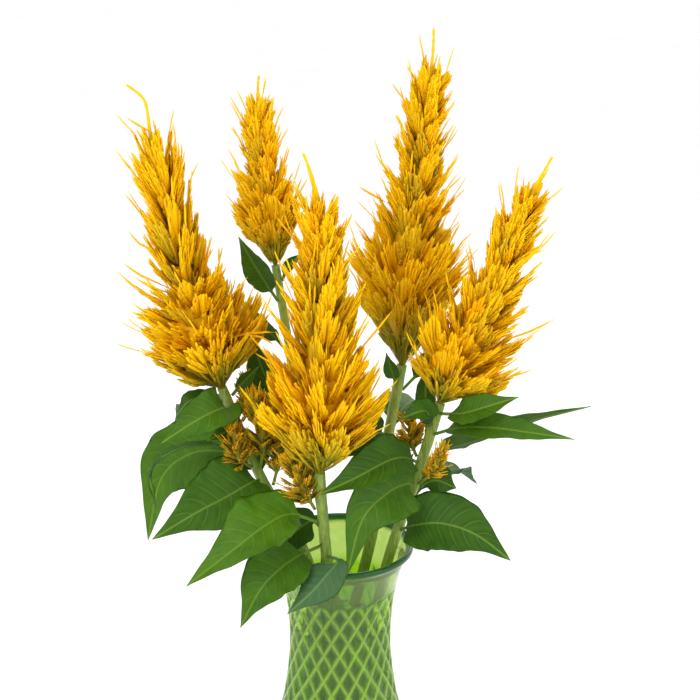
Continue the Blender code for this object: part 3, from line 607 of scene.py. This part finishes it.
def vase_rows():
    """Radius, height, share of relief and share of rim colour, from the foot's middle
    up the outside, over the rim and down the inside to the floor's middle."""
    rows = [(radius, height, 0, 0) for radius, height in FOOT_ROUND]
    for i in range(OUTSIDE_ROWS + 1):
        height = lerp(0.008, 0.226, i / OUTSIDE_ROWS)
        fade = smoothstep((height - RELIEF_BOTTOM + 0.002) / 0.008)
        fade *= smoothstep((RELIEF_TOP + 0.002 - height) / 0.007)
        rows.append((vase_radius(height), height, fade, 0))
    rows += [(radius, height, 0, rim) for radius, height, rim in RIM_ROUND]
    for i in range(INSIDE_ROWS + 1):
        height = lerp(0.228, LOWEST_WALL, i / INSIDE_ROWS)
        rows.append((inner_wall(height), height, 0, 0))
    floor = [(lerp(FLOOR_EDGE, inner_wall(LOWEST_WALL), 0.72), FLOOR + 0.005),
             (FLOOR_EDGE + 0.002, FLOOR + 0.0012), (FLOOR_EDGE - 0.002, FLOOR),
             (FLOOR_EDGE / 2, FLOOR), (0.0, FLOOR)]
    return rows + [(radius, height, 0, 0) for radius, height in floor]


def diamond_sink(turn, height):
    """How far the pressed diamonds sink, from 0 on a ridge to 1 in a diamond's middle."""
    column = turn * DIAMONDS
    row = (height - RELIEF_BOTTOM) / DIAMOND_HEIGHT
    from_ridge = min(abs(line - round(line)) for line in (column + row, column - row))
    return smoothstep((from_ridge - 0.03) / 0.26)


def vase():
    rows = vase_rows()

    def place(turn, row):
        radius, height, relief, rim = rows[row]
        sink = relief * diamond_sink(turn, height)
        radius -= RELIEF_DEPTH * sink
        angle = math.tau * turn
        band = smoothstep((height - RELIEF_TOP + 0.004) / 0.010)
        point = (radius * math.cos(angle), radius * math.sin(angle), height)
        # The ridge mark is squared into a sharp line for the glass's painted highlight
        return point, rim, (relief - sink) ** 2, band

    obj = wrap("pressed_glass_vase", VASE_COLUMNS, len(rows) - 1, place, ["rim", "ridge_highlight", "band"])
    finish_piece(obj, glass_finish(), "vase")


def water():
    """Fills the vase a hair into its wall, so no film of air shows between them."""
    rows = [(0.0, FLOOR - INTO_WALL), (FLOOR_EDGE, FLOOR - INTO_WALL),
            (FLOOR_EDGE + 0.0025, FLOOR + 0.0012)]
    for i in range(WATER_ROWS + 1):
        height = lerp(LOWEST_WALL, WATER_LEVEL + 0.0012, i / WATER_ROWS)
        rows.append((inner_wall(height) + INTO_WALL, height))
    brim = rows[-1][0]
    rows += [(brim - 0.0012, WATER_LEVEL + 0.0004), (brim - 0.003, WATER_LEVEL),
             (brim / 2, WATER_LEVEL), (0.0, WATER_LEVEL)]

    def place(turn, row):
        radius, height = rows[row]
        angle = math.tau * turn
        return ((radius * math.cos(angle), radius * math.sin(angle), height),)

    obj = wrap("vase_water_fill", WATER_COLUMNS, len(rows) - 1, place)
    finish_piece(obj, water_finish(), "water")


# Stalks

STALK_ROWS = 120
STALK_COLUMNS = 28


def stalks():
    mat = stalk_finish()
    for seed, name in enumerate(STALKS):
        route = stalk_route(name)
        _, thick, thin = STALKS[name]
        side_stems = list(LEAVES.values()) + list(SHOOTS.values())
        joints = sorted({round(stem[1], 3) for stem in side_stems if stem[0] == name})
        draw = random.Random(40 + seed)
        phase = draw.uniform(0, math.tau)
        slices = []
        for i in range(STALK_ROWS + 1):
            share = i / STALK_ROWS
            centre = smooth(route, share)
            side, up = across(direction(route, share), BACK)
            swell = sum(math.exp(-(((centre.z - height) / 0.0035) ** 2)) for height in joints)
            radius = lerp(thick, thin, share) * (1 + 0.05 * min(swell, 1))
            slices.append((centre, side, up, radius))

        def place(turn, row):
            if row in (0, STALK_ROWS + 2):
                return (slices[0 if row == 0 else STALK_ROWS][0],)
            centre, side, up, radius = slices[row - 1]
            angle = math.tau * turn
            ribs = 0.035 * math.cos(7 * angle + phase) + 0.012 * math.cos(15 * angle + 2 * phase)
            outward = side * math.cos(angle) + up * math.sin(angle)
            return (centre + radius * (1 + ribs) * 0.97 * outward,)

        obj = wrap("celosia_stalk_" + name, STALK_COLUMNS, STALK_ROWS + 2, place)
        finish_piece(obj, mat, "stalk_" + name)


# Leaves

LEAF_COLUMNS = 32
LEAF_ROW = 0.0018
VEIN_SPACING = 0.020


def blade_width(share, half_width):
    return half_width * math.sin(math.pi * min(share, 1.0) ** 0.75) ** 0.9


def leaf(name, seed, mat):
    stalk, height, points, half_width, face, stem_share = LEAVES[name]
    points = [Vector(point) for point in points]
    face = Vector(face)
    route = [seat_on_stalk(stalk, height, points[0], LEAF_STALK_RADIUS)] + points
    phase = random.Random(seed).uniform(0, math.tau)
    draw = random.Random(200 + seed)
    ripple = draw.uniform(0, math.tau)
    length = sum((b - a).length for a, b in zip(route, route[1:]))
    tone_and_shade = LEAF_TONE_AND_SHADE.get(name, draw.uniform(0.1, 0.6))
    steps = min(max(round(length / LEAF_ROW), 18), 62)
    vein_pairs = 4 + length / VEIN_SPACING
    slices = []
    for i in range(steps + 1):
        share = i / steps
        along = max(share - stem_share, 0.0) / (1 - stem_share)
        flat = smoothstep(along / 0.10)
        side, up = across(direction(route, share), face)
        narrow = 1 - 0.30 * smoothstep((along - 0.62) / 0.30)
        width = max(blade_width(along, half_width) * narrow,
                    LEAF_STALK_RADIUS * lerp(1.0, 0.25, along))
        slices.append((smooth(route, share), side, up, width, along, flat))

    def place(turn, row):
        """Round leaf stalk that opens into a thin blade, folded and waved at its edges."""
        centre, side, up, width, along, flat = slices[min(max(row - 1, 0), steps)]
        if row in (0, steps + 2):
            return centre, 0.0, 0.0, 0.0, 0.0, tone_and_shade
        over = turn <= 0.5
        a = -1 + 4 * turn if over else 3 - 4 * turn
        sign = 1 if over else -1
        beside = abs(a)
        angle = math.pi - math.tau * turn
        stem = LEAF_STALK_RADIUS * (side * math.cos(angle) + up * math.sin(angle))
        vein = vein_pairs * (along ** 0.9 - 0.20 * beside ** 1.15 * (1 - 0.35 * along))
        lift = math.sin(FOLD) * width * beside ** 1.35
        swing = math.tau * WAVE_COUNT * along + phase + math.copysign(1.1, a)
        edge = WAVE * width * beside ** 1.5 * math.sin(swing)
        edge += 0.045 * width * beside ** 3 * math.sin(math.tau * 6.5 * along + ripple + 2.0 * a)
        quilt = -0.00028 * math.cos(math.tau * vein) * math.sin(math.pi * beside)
        quilt *= min(width / 0.012, 1.0)
        thick = BLADE / 2 * math.sqrt(max(1 - beside ** 2, 0.0))
        rib = math.exp(-((a * width / 0.0011) ** 2))
        thick += (0.0009 if sign < 0 else -0.00022) * rib * (1 - 0.75 * along)
        margin = 1 + 0.012 * math.sin(math.tau * 9 * along + ripple)
        blade = side * a * width * margin * math.cos(FOLD * beside)
        blade += up * (lift + edge + quilt + sign * thick)
        offset = stem.lerp(blade, flat)
        return (centre + offset, vein, beside * flat, abs(a) * width if flat > 0.2 else 0.0,
                0.0 if over else 1.0, tone_and_shade)

    obj = wrap("celosia_leaf_" + name, LEAF_COLUMNS, steps + 2, place,
               ["vein", "across", "beside_rib", "under", "tone_and_shade"])
    finish_piece(obj, mat, "leaf_" + name)


def leaves():
    mat = leaf_finish()
    for seed, name in enumerate(LEAVES):
        leaf(name, seed, mat)


# Plumes

class Strands:
    """Collects small closed shapes, then makes them one mesh."""

    def __init__(self):
        self.points, self.faces = [], []
        self.marks = {"glow": [], "tone": [], "green": []}
        self.count = 0

    def add(self, points, faces, **marks):
        """points is n x k x 3 for n like shapes of k points; faces index one shape."""
        shapes, corners = points.shape[:2]
        start = self.count + corners * np.arange(shapes)[:, None, None]
        self.points.append(points.reshape(-1, 3))
        self.faces.append((np.array(faces)[None] + start).reshape(-1, 3))
        for mark, value in marks.items():
            values = np.broadcast_to(value, (shapes, corners))
            self.marks[mark].append(np.clip(values, 0, 1).reshape(-1))
        self.count += shapes * corners

    def piece(self, name):
        points = np.concatenate(self.points)
        triangles = np.concatenate(self.faces)
        mesh = bpy.data.meshes.new(name)
        mesh.from_pydata(points, [], triangles)
        for mark, values in self.marks.items():
            layer = mesh.attributes.new(mark, "FLOAT", "POINT")
            layer.data.foreach_set("value", np.concatenate(values).astype(np.float32))
        mesh.update()
        mesh.validate()
        mesh.shade_smooth()
        obj = bpy.data.objects.new(name, mesh)
        bpy.context.scene.collection.objects.link(obj)
        return obj


def skin_faces(rings, sides):
    """Triangles of a closed skin: a point, rings of points, a point."""
    faces = [(0, 1 + i, 1 + (i + 1) % sides) for i in range(sides)]
    for ring in range(rings - 1):
        start = 1 + sides * ring
        for i in range(sides):
            j = (i + 1) % sides
            faces += [(start + i, start + sides + j, start + j),
                      (start + i, start + sides + i, start + sides + j)]
    last = 1 + sides * (rings - 1)
    return faces + [(last + i, last + sides, last + (i + 1) % sides) for i in range(sides)]


STRAND = skin_faces(3, 3)
SPECK = skin_faces(1, 3)
STATIONS = np.array((0.0, 0.22, 0.58, 0.90, 1.0))


def unit(array):
    return array / np.maximum(np.linalg.norm(array, axis=-1, keepdims=True), 1e-9)


def as_array(*vectors):
    return [np.array(tuple(vector)) for vector in vectors]


def bow(points, share):
    """Places and directions at the shares of a bow through three guiding points."""
    start, middle, end = points
    share = share[..., None]
    place = (1 - share) ** 2 * start + 2 * share * (1 - share) * middle + share ** 2 * end
    return place, unit((1 - share) * (middle - start) + share * (end - middle))


def three_sided(centre, lead, hint, width, thick):
    """Three points round each centre: two at the sides, one on the hint's side."""
    side = unit(np.cross(lead, hint))
    up = unit(np.cross(side, lead))
    width, thick = width[..., None], thick[..., None]
    below = up * thick * 0.5
    return np.stack([centre - side * width - below, centre + side * width - below,
                     centre + up * thick], axis=-2)


def lay_strands(strands, centre, lead, hint, width, glow, tone, green, flat):
    """Tapered three-sided strands through five centres each: a point, three rings, a point."""
    middle = three_sided(centre[:, 1:4], lead[:, 1:4], hint[:, 1:4] if hint.ndim == 3 else hint,
                         width[:, None] * (0.72, 1.0, 0.72),
                         width[:, None] * flat * np.array((0.8, 1.0, 0.8)))
    count = len(centre)
    points = np.concatenate([centre[:, :1], middle.reshape(count, 9, 3), centre[:, 4:]], axis=1)
    spread = np.repeat(np.arange(5), (1, 3, 3, 3, 1))
    strands.add(points, STRAND, glow=glow[:, spread], tone=tone[:, None], green=green[:, spread])


def fan(strands, root, tip, rise, outward, half_width, count, look, rng):
    """A side branch of a plume: flat strands that leave one root, spread side by side
    as a ruffled fan and end unevenly, some in a long prong."""
    root, tip, rise, outward = as_array(root, tip, rise, outward)
    sideways, upward = np.dot(tip - root, outward), np.dot(tip - root, rise)
    bend = root + outward * look["elbow"] * sideways + rise * 0.40 * upward
    beside = np.cross(rise, outward)
    twist = look["twist"]
    face = outward * math.cos(twist) + beside * math.sin(twist)

    place = np.linspace(-1, 1, count) + rng.uniform(-0.06, 0.06, count)
    layer = rng.uniform(-1, 1, count)
    reach = 1.02 - 0.34 * np.abs(place) ** 1.7 - rng.uniform(0, 0.20, count)
    reach = reach - 0.22 * (rng.uniform(0, 1, count) < 0.3)
    start = rng.uniform(0.0, 0.45, count) * (1 - 0.25 * np.abs(place))
    share = start[:, None] + (reach - start)[:, None] * STATIONS
    centre, lead = bow((root, bend, tip), share)
    side = unit(np.cross(lead, face))
    up = unit(np.cross(side, lead))
    spread = half_width * np.minimum(np.maximum(share, 0.02) / 0.78, 1.0) ** 0.75
    phase = rng.uniform(0, math.tau)
    ruffle = 0.15 * np.sin(4.2 * place + phase) + 0.07 * np.sin(9.0 * place + 2 * phase)
    lift = spread * (ruffle - 0.30 * place ** 2)[:, None] + 0.0011 * layer[:, None] * share
    centre = centre + side * (spread * place[:, None])[..., None] + up * lift[..., None]
    flick = rng.normal(0, 0.0006, (count, 1)) * STATIONS ** 2
    flare = np.abs(rng.normal(0, 0.0009, (count, 1))) * STATIONS ** 3
    flare = flare + 0.0012 * look["flare"] * STATIONS ** 3
    centre = centre + side * flick[..., None] + up * flare[..., None]

    # Painted shade: strands darker towards the root and in the fan's lower layers, where the
    # plume's crevices are shaded
    glow = 0.36 + 0.34 * share + 0.08 * layer[:, None] + rng.normal(0, 0.04, (count, 1))
    green = look["green_root"] * np.maximum(1 - share * 1.3, 0) ** 0.8 + look["green"]
    tone = look["tone"] + rng.normal(0, 0.06, count)
    width = rng.uniform(0.0011, 0.0021, count) * look["coarse"]
    lay_strands(strands, centre, lead, up, width, glow, tone, green, 0.28)

    prongs = look["prongs"]
    if prongs:
        pick = rng.choice(np.argsort(reach)[-3 * prongs:], prongs, replace=False)
        length = look["prong_length"] * rng.uniform(0.6, 1.5, prongs)
        rising = up[pick, 3] * rng.uniform(0.0, 0.45, (prongs, 1))
        beside = 0.35 * place[pick, None] + rng.normal(0, 0.10, (prongs, 1))
        heading = unit(lead[pick, 3] + rising + side[pick, 3] * beside)
        lean = unit(rise + 0.5 * outward + rng.normal(0, 0.35, (prongs, 3)))
        base = centre[pick, 3]
        path = np.stack([base + heading * (length * share)[:, None]
                         + lean * (length * 0.28 * share ** 2)[:, None]
                         for share in (-0.15, 0.15, 0.5, 0.8, 1.0)], axis=1)
        heads = np.repeat(unit(heading + lean * 0.2)[:, None], 5, axis=1)
        level = 0.62 + 0.25 * STATIONS + rng.normal(0, 0.06, (prongs, 1))
        slender = rng.uniform(0.00060, 0.00100, prongs) * look["coarse"]
        lay_strands(strands, path, heads, up[pick], slender,
                    level, tone[pick] + 0.06, np.zeros((prongs, 5)), 0.8)

    specks = look["specks"]
    if specks:
        pick = rng.choice(count, specks, replace=False)
        base, head = centre[pick, 2], lead[pick, 2]
        ring = three_sided(base + head * 0.0008, head, up[pick, 2],
                           np.full(specks, 0.0006), np.full(specks, 0.0007))
        end = base + head * 0.0024 + up[pick, 2] * 0.0006
        points = np.concatenate([base[:, None], ring, end[:, None]], axis=1)
        strands.add(points, SPECK, glow=rng.uniform(0.0, 0.12, (specks, 1)), tone=0.5, green=0.0)


def around(tangent, turn):
    """The direction square to the tangent at a turn from BACK."""
    side, up = across(tangent, BACK)
    return side * math.cos(turn) + up * math.sin(turn)


def core(strands, slices):
    """A closed skin: a point, rings of points and a point, each with its place on the gold ramp,
    which paints shade, and its green.
    """
    rings, glow, green = zip(*slices)
    sides = len(rings[1])
    points = [rings[0]] + [point for ring in rings[1:-1] for point in ring] + [rings[-1]]
    repeat = [1] + [sides] * (len(rings) - 2) + [1]
    strands.add(np.array([as_array(*points)]), skin_faces(len(rings) - 2, sides),
                glow=np.repeat(glow, repeat)[None], tone=0.45, green=np.repeat(green, repeat)[None])


def round_ring(points, share, tangent, radius, sides):
    """Points round a curve's place at a share of its length."""
    centre = smooth(points, share)
    return [centre + radius * around(tangent, math.tau * i / sides) for i in range(sides)]


# Pale stems that fan out from a plume's foot, and small fans that close its top
FOOT_STEMS = 26
CROWN_FANS = 9
CORE_ROWS = 24
CORE_SIDES = 14

# Where a plume's stem shows between its fans, as turns from BACK, and how wide
FURROWS = (-1.45, 0.75, 2.75)
FURROW_WIDTH = 0.36


def furrow(turn, share):
    """How open the plume is here, so its pale stem shows through: 0 to 1."""
    nearest = min(abs((turn - middle + math.pi) % math.tau - math.pi) for middle in FURROWS)
    along = smoothstep((share - 0.42) / 0.14) * smoothstep((0.92 - share) / 0.12)
    return math.exp(-(nearest / FURROW_WIDTH) ** 2) * along


def plume(name, seed, mat):
    axis, thread, widest, peak, count = PLUMES[name]
    stalk = stalk_route(name)
    stalk_end = direction(stalk, 1.0)
    axis = [stalk[-1] + stalk_end * SEAT] + [Vector(point) for point in axis]
    thread = [Vector(point) for point in thread]
    draw = random.Random(seed)
    rng = np.random.RandomState(seed + 10)
    length = sum((b - a).length for a, b in zip(axis, axis[1:]))
    strands = Strands()

    slices = [(axis[0], 0.45, 1.0)]
    for i in range(CORE_ROWS + 1):
        share = i / CORE_ROWS
        tangent = direction(axis, share) if i else stalk_end
        slim = 1 - 0.74 * smoothstep((share - 0.40) / 0.42)
        radius = max(0.74 * CORE_SHARE * plume_reach(share, widest, peak) * slim, 0.0014)
        green = lerp(0.95, 0.30, smoothstep(share / 0.3)) + 0.4 * smoothstep((share - 0.45) / 0.2)
        ring = round_ring(axis, share, tangent, radius, CORE_SIDES)
        # The core, deep inside the plume, sits low on the gold ramp, darker towards the foot:
        # painted shade
        slices.append((ring, 0.45 + 0.35 * share, green))
    end = [axis[-2].lerp(axis[-1], 0.9), axis[-1], thread[0], thread[1]]
    for share in np.linspace(0.45, 0.98, 14).tolist():
        radius = lerp(0.00130, 0.00095, share) * (1 + 0.16 * math.sin(43 * share))
        slices.append((round_ring(end, share, direction(end, share), radius, CORE_SIDES), 0.5, 0.0))
    slices.append((thread[1], 0.5, 0.0))
    core(strands, slices)

    for i in range(count):
        share = lerp(LOWEST_TIP, 1.0, ((i + 0.5) / count) ** TIP_SPACING)
        turn = i * GOLDEN_ANGLE + draw.uniform(-TURN_SPREAD, TURN_SPREAD)
        reach = plume_reach(share, widest, peak) * draw.uniform(*REACH_SPREAD)
        rise = direction(axis, min(share, 0.98))
        outward = around(rise, turn)
        start = max(share - (DROP_SHARE * reach + DROP_LEAST) / length, FIRST_ROOT / length)
        root = smooth(axis, start) + outward * 0.25 * CORE_SHARE * plume_reach(start, widest, peak)
        lift = draw.uniform(*TIP_LIFT)
        draw.uniform(*RADIUS_SPREAD)  # the solids' branches draw a radius here
        opened = furrow(turn, share)
        size = reach / widest
        look = {
            "tone": min(max(rng.normal(0.5, 0.20), 0), 1),
            "green": 0.82 * smoothstep((0.38 - share) / 0.32) + 0.42 * opened,
            "green_root": 0.85 * smoothstep((0.34 - share) / 0.20) + 0.5 * opened,
            "coarse": 1.0, "elbow": rng.uniform(0.58, 0.84), "twist": rng.normal(0, 0.40),
            "flare": rng.uniform(0, 2.2), "prongs": int(rng.randint(0, 3)),
            "prong_length": 0.0125, "specks": 2,
        }
        low = smoothstep((0.32 - share) / 0.26)
        reach *= 0.97 - 0.34 * opened - 0.08 * low
        lift += 0.017 * low * widest / 0.055
        tip = smooth(axis, share) + outward * reach + rise * lift
        half_width = 0.0026 + 0.0108 * size ** 1.2
        fan(strands, root, tip, rise, outward, half_width, int(30 + 18 * size), look, rng)

        outward = around(rise, turn + rng.uniform(0.9, 1.6))
        root = smooth(axis, start) + outward * 0.2 * CORE_SHARE * plume_reach(start, widest, peak)
        inner_reach = reach * rng.uniform(0.60, 0.84)
        tip = smooth(axis, share) + outward * inner_reach + rise * lift * 0.5
        look.update(prongs=0, twist=rng.normal(0, 0.7), tone=min(max(rng.normal(0.5, 0.2), 0), 1))
        fan(strands, root, tip, rise, outward, 0.0026 + 0.0080 * size ** 1.2, 18, look, rng)

    foot = axis[0]
    for i in range(FOOT_STEMS):
        turn = math.tau * (i + rng.uniform(-0.3, 0.3)) / FOOT_STEMS
        share = rng.uniform(0.16, 0.30)
        outward = around(stalk_end, turn)
        reach = plume_reach(share, widest, peak) * rng.uniform(0.62, 0.80)
        start = foot + outward * 0.0036 + stalk_end * 0.001
        tip = smooth(axis, share) + outward * reach
        centre, lead = bow(as_array(start, start.lerp(tip, 0.5) + outward * 0.10 * reach, tip),
                           np.array([[0.0, 0.25, 0.55, 0.8, 1.0]]))
        lay_strands(strands, centre, lead, as_array(outward)[0],
                    np.array([rng.uniform(0.0012, 0.0022)]), np.array([[0.6, 0.6, 0.65, 0.7, 0.8]]),
                    np.array([0.4]), np.array([[1.0, 0.95, 0.75, 0.4, 0.1]]), 0.6)

    top = direction(axis, 0.98)
    for i in range(CROWN_FANS):
        outward = around(top, i * GOLDEN_ANGLE)
        root = smooth(axis, 0.86)
        tip = axis[-1] + outward * rng.uniform(0.002, 0.0065) + top * rng.uniform(-0.004, 0.007)
        look.update(prongs=int(rng.randint(0, 3)), prong_length=0.006, elbow=0.7,
                    green=0.0, green_root=0.3)
        fan(strands, root, tip, top, outward, 0.0034, 16, look, rng)

    for depth, half_width, *seen in PRONGS[name]:
        points = [seen_at(right, above, depth) for right, above in seen]
        points.insert(0, points[0] * 2 - points[1])
        shares = (0.0, 0.3, 0.6, 0.85, 1.0)
        centre = np.array([as_array(*(smooth(points, share) for share in shares))])
        lead = np.array([as_array(*(direction(points, share) for share in shares))])
        lay_strands(strands, centre, lead, np.array([[0.1, -1.0, 0.3]]), np.array([half_width]),
                    np.array([[0.5, 0.6, 0.7, 0.8, 0.9]]), np.array([0.75]), np.zeros((1, 5)), 0.9)

    obj = strands.piece("celosia_plume_" + name)
    finish_piece(obj, mat, "plume_" + name)


def plumes():
    # The ramp runs from a deep brown-orange, the painted shade of roots and crevices, to bright
    # gold at the tips
    mat = plume_finish("plume_gold", ((0.0, (0.50, 0.190, 0.001)), (0.22, (0.94, 0.420, 0.001)),
                                      (0.55, (1.0, 0.520, 0.002)), (1.0, (1.0, 0.600, 0.004))),
                       (0.27, 0.25, 0.014))
    for seed, name in enumerate(PLUMES):
        plume(name, seed, mat)


SHOOT_FULLNESS = 1.25
SHOOT_TUFTS = 26
SHOOT_SIDES = 10

# A side shoot's core: share of its length, and radius against the head's
SHOOT_CORE = ((0.0, 0.0), (0.2, 0.0), (0.4, 0.32), (0.60, 0.42), (0.80, 0.26), (0.94, 0.12))


def shoots():
    """Young plumes in the leaves' forks: a thin stem, then small fans and bent threads."""
    # As for the plumes, the low end of this ramp is painted shade of roots and crevices
    mat = plume_finish("shoot_gold", ((0.0, (0.26, 0.150, 0.003)), (0.30, (0.56, 0.290, 0.003)),
                                      (0.65, (0.82, 0.390, 0.003)), (1.0, (0.96, 0.460, 0.004))),
                       (0.17, 0.24, 0.03))
    for seed, (name, (stalk, height, points, widest)) in enumerate(SHOOTS.items()):
        points = [Vector(point) for point in points]
        route = [seat_on_stalk(stalk, height, points[0], 0.0016)] + points
        rng = np.random.RandomState(300 + seed)
        strands = Strands()
        slices = [(route[0], 0.4, 1.0)]
        for share, width in SHOOT_CORE:
            radius = max(0.0013, widest * width)
            ring = round_ring(route, share, direction(route, share), radius, SHOOT_SIDES)
            slices.append((ring, 0.3 + 0.2 * share, 1.0 - 0.5 * share))
        slices.append((route[-1], 0.5, 0.3))
        core(strands, slices)
        widest *= SHOOT_FULLNESS
        for i in range(SHOOT_TUFTS):
            place = (i + 0.5) / SHOOT_TUFTS
            share = lerp(0.32, 0.98, place)
            turn = i * GOLDEN_ANGLE + rng.uniform(-0.3, 0.3)
            rise = direction(route, share)
            outward = around(rise, turn)
            width = widest * math.sin(math.pi * lerp(0.28, 0.90, place)) * rng.uniform(0.85, 1.25)
            root = smooth(route, share - 0.12)
            lift = widest * rng.uniform(0.5, 1.1)
            tip = smooth(route, share) + outward * width * 1.08 + rise * lift
            look = {"tone": min(max(rng.normal(0.62, 0.2), 0), 1), "green": 0.30 * (1 - share),
                    "green_root": 0.9, "coarse": 0.62, "elbow": 0.7, "twist": rng.normal(0, 0.5),
                    "flare": 1.0, "prongs": int(rng.randint(0, 3)), "prong_length": 0.0050,
                    "specks": 1}
            fan(strands, root, tip, rise, outward, widest * 0.36, 20, look, rng)
        obj = strands.piece("side_shoot_" + name)
        finish_piece(obj, mat, "shoot_" + name)


# Studio

def area_light(name, place, target, size, power, tint=(1, 1, 1)):
    data = bpy.data.lights.new(name, "AREA")
    data.size = size
    data.energy = power
    data.color = tint
    lamp = bpy.data.objects.new(name, data)
    lamp.location = place
    lamp.rotation_euler = (Vector(target) - Vector(place)).to_track_quat("-Z", "Y").to_euler()
    bpy.context.scene.collection.objects.link(lamp)


def studio():
    world = bpy.data.worlds.new("pale_studio")
    world.use_nodes = True
    background = world.node_tree.nodes["Background"]
    background.inputs["Color"].default_value = (1, 1, 1, 1)
    background.inputs["Strength"].default_value = 1.06
    bpy.context.scene.world = world

    bpy.ops.object.select_all(action="DESELECT")
    bpy.ops.mesh.primitive_circle_add(vertices=96, radius=30, fill_type="NGON")
    floor = bpy.context.object
    floor.name = floor.data.name = "studio_floor"
    finish = Finish("pale_floor", Roughness=0.9, Specular_IOR_Level=0.1)
    cloud = finish.noise(3, 2)
    finish.colour(finish.ramp(cloud, (0.3, (0.93, 0.93, 0.93)), (0.7, (0.96, 0.96, 0.96))))
    floor.data.materials.append(finish.mat)

    area_light("key_softbox", (-0.9, -1.3, 1.5), (0, 0, 0.4), 0.9, 15, (1.0, 0.985, 0.95))
    area_light("fill_softbox", (1.4, -0.9, 0.9), (0, 0, 0.35), 1.2, 8)
    area_light("back_softbox", (0.5, 1.5, 1.4), (0, 0, 0.3), 1.0, 7)

    camera = bpy.data.objects.new("camera", bpy.data.cameras.new("camera"))
    camera.location = TARGET - DISTANCE * view_lead()
    camera.rotation_euler = (math.pi / 2 - PITCH, 0, 0)
    camera.data.sensor_width = SENSOR
    camera.data.lens = LENS
    bpy.context.scene.collection.objects.link(camera)
    bpy.context.scene.camera = camera
    bpy.context.scene.view_settings.view_transform = "Standard"


vase()
water()
stalks()
leaves()
shoots()
plumes()
studio()
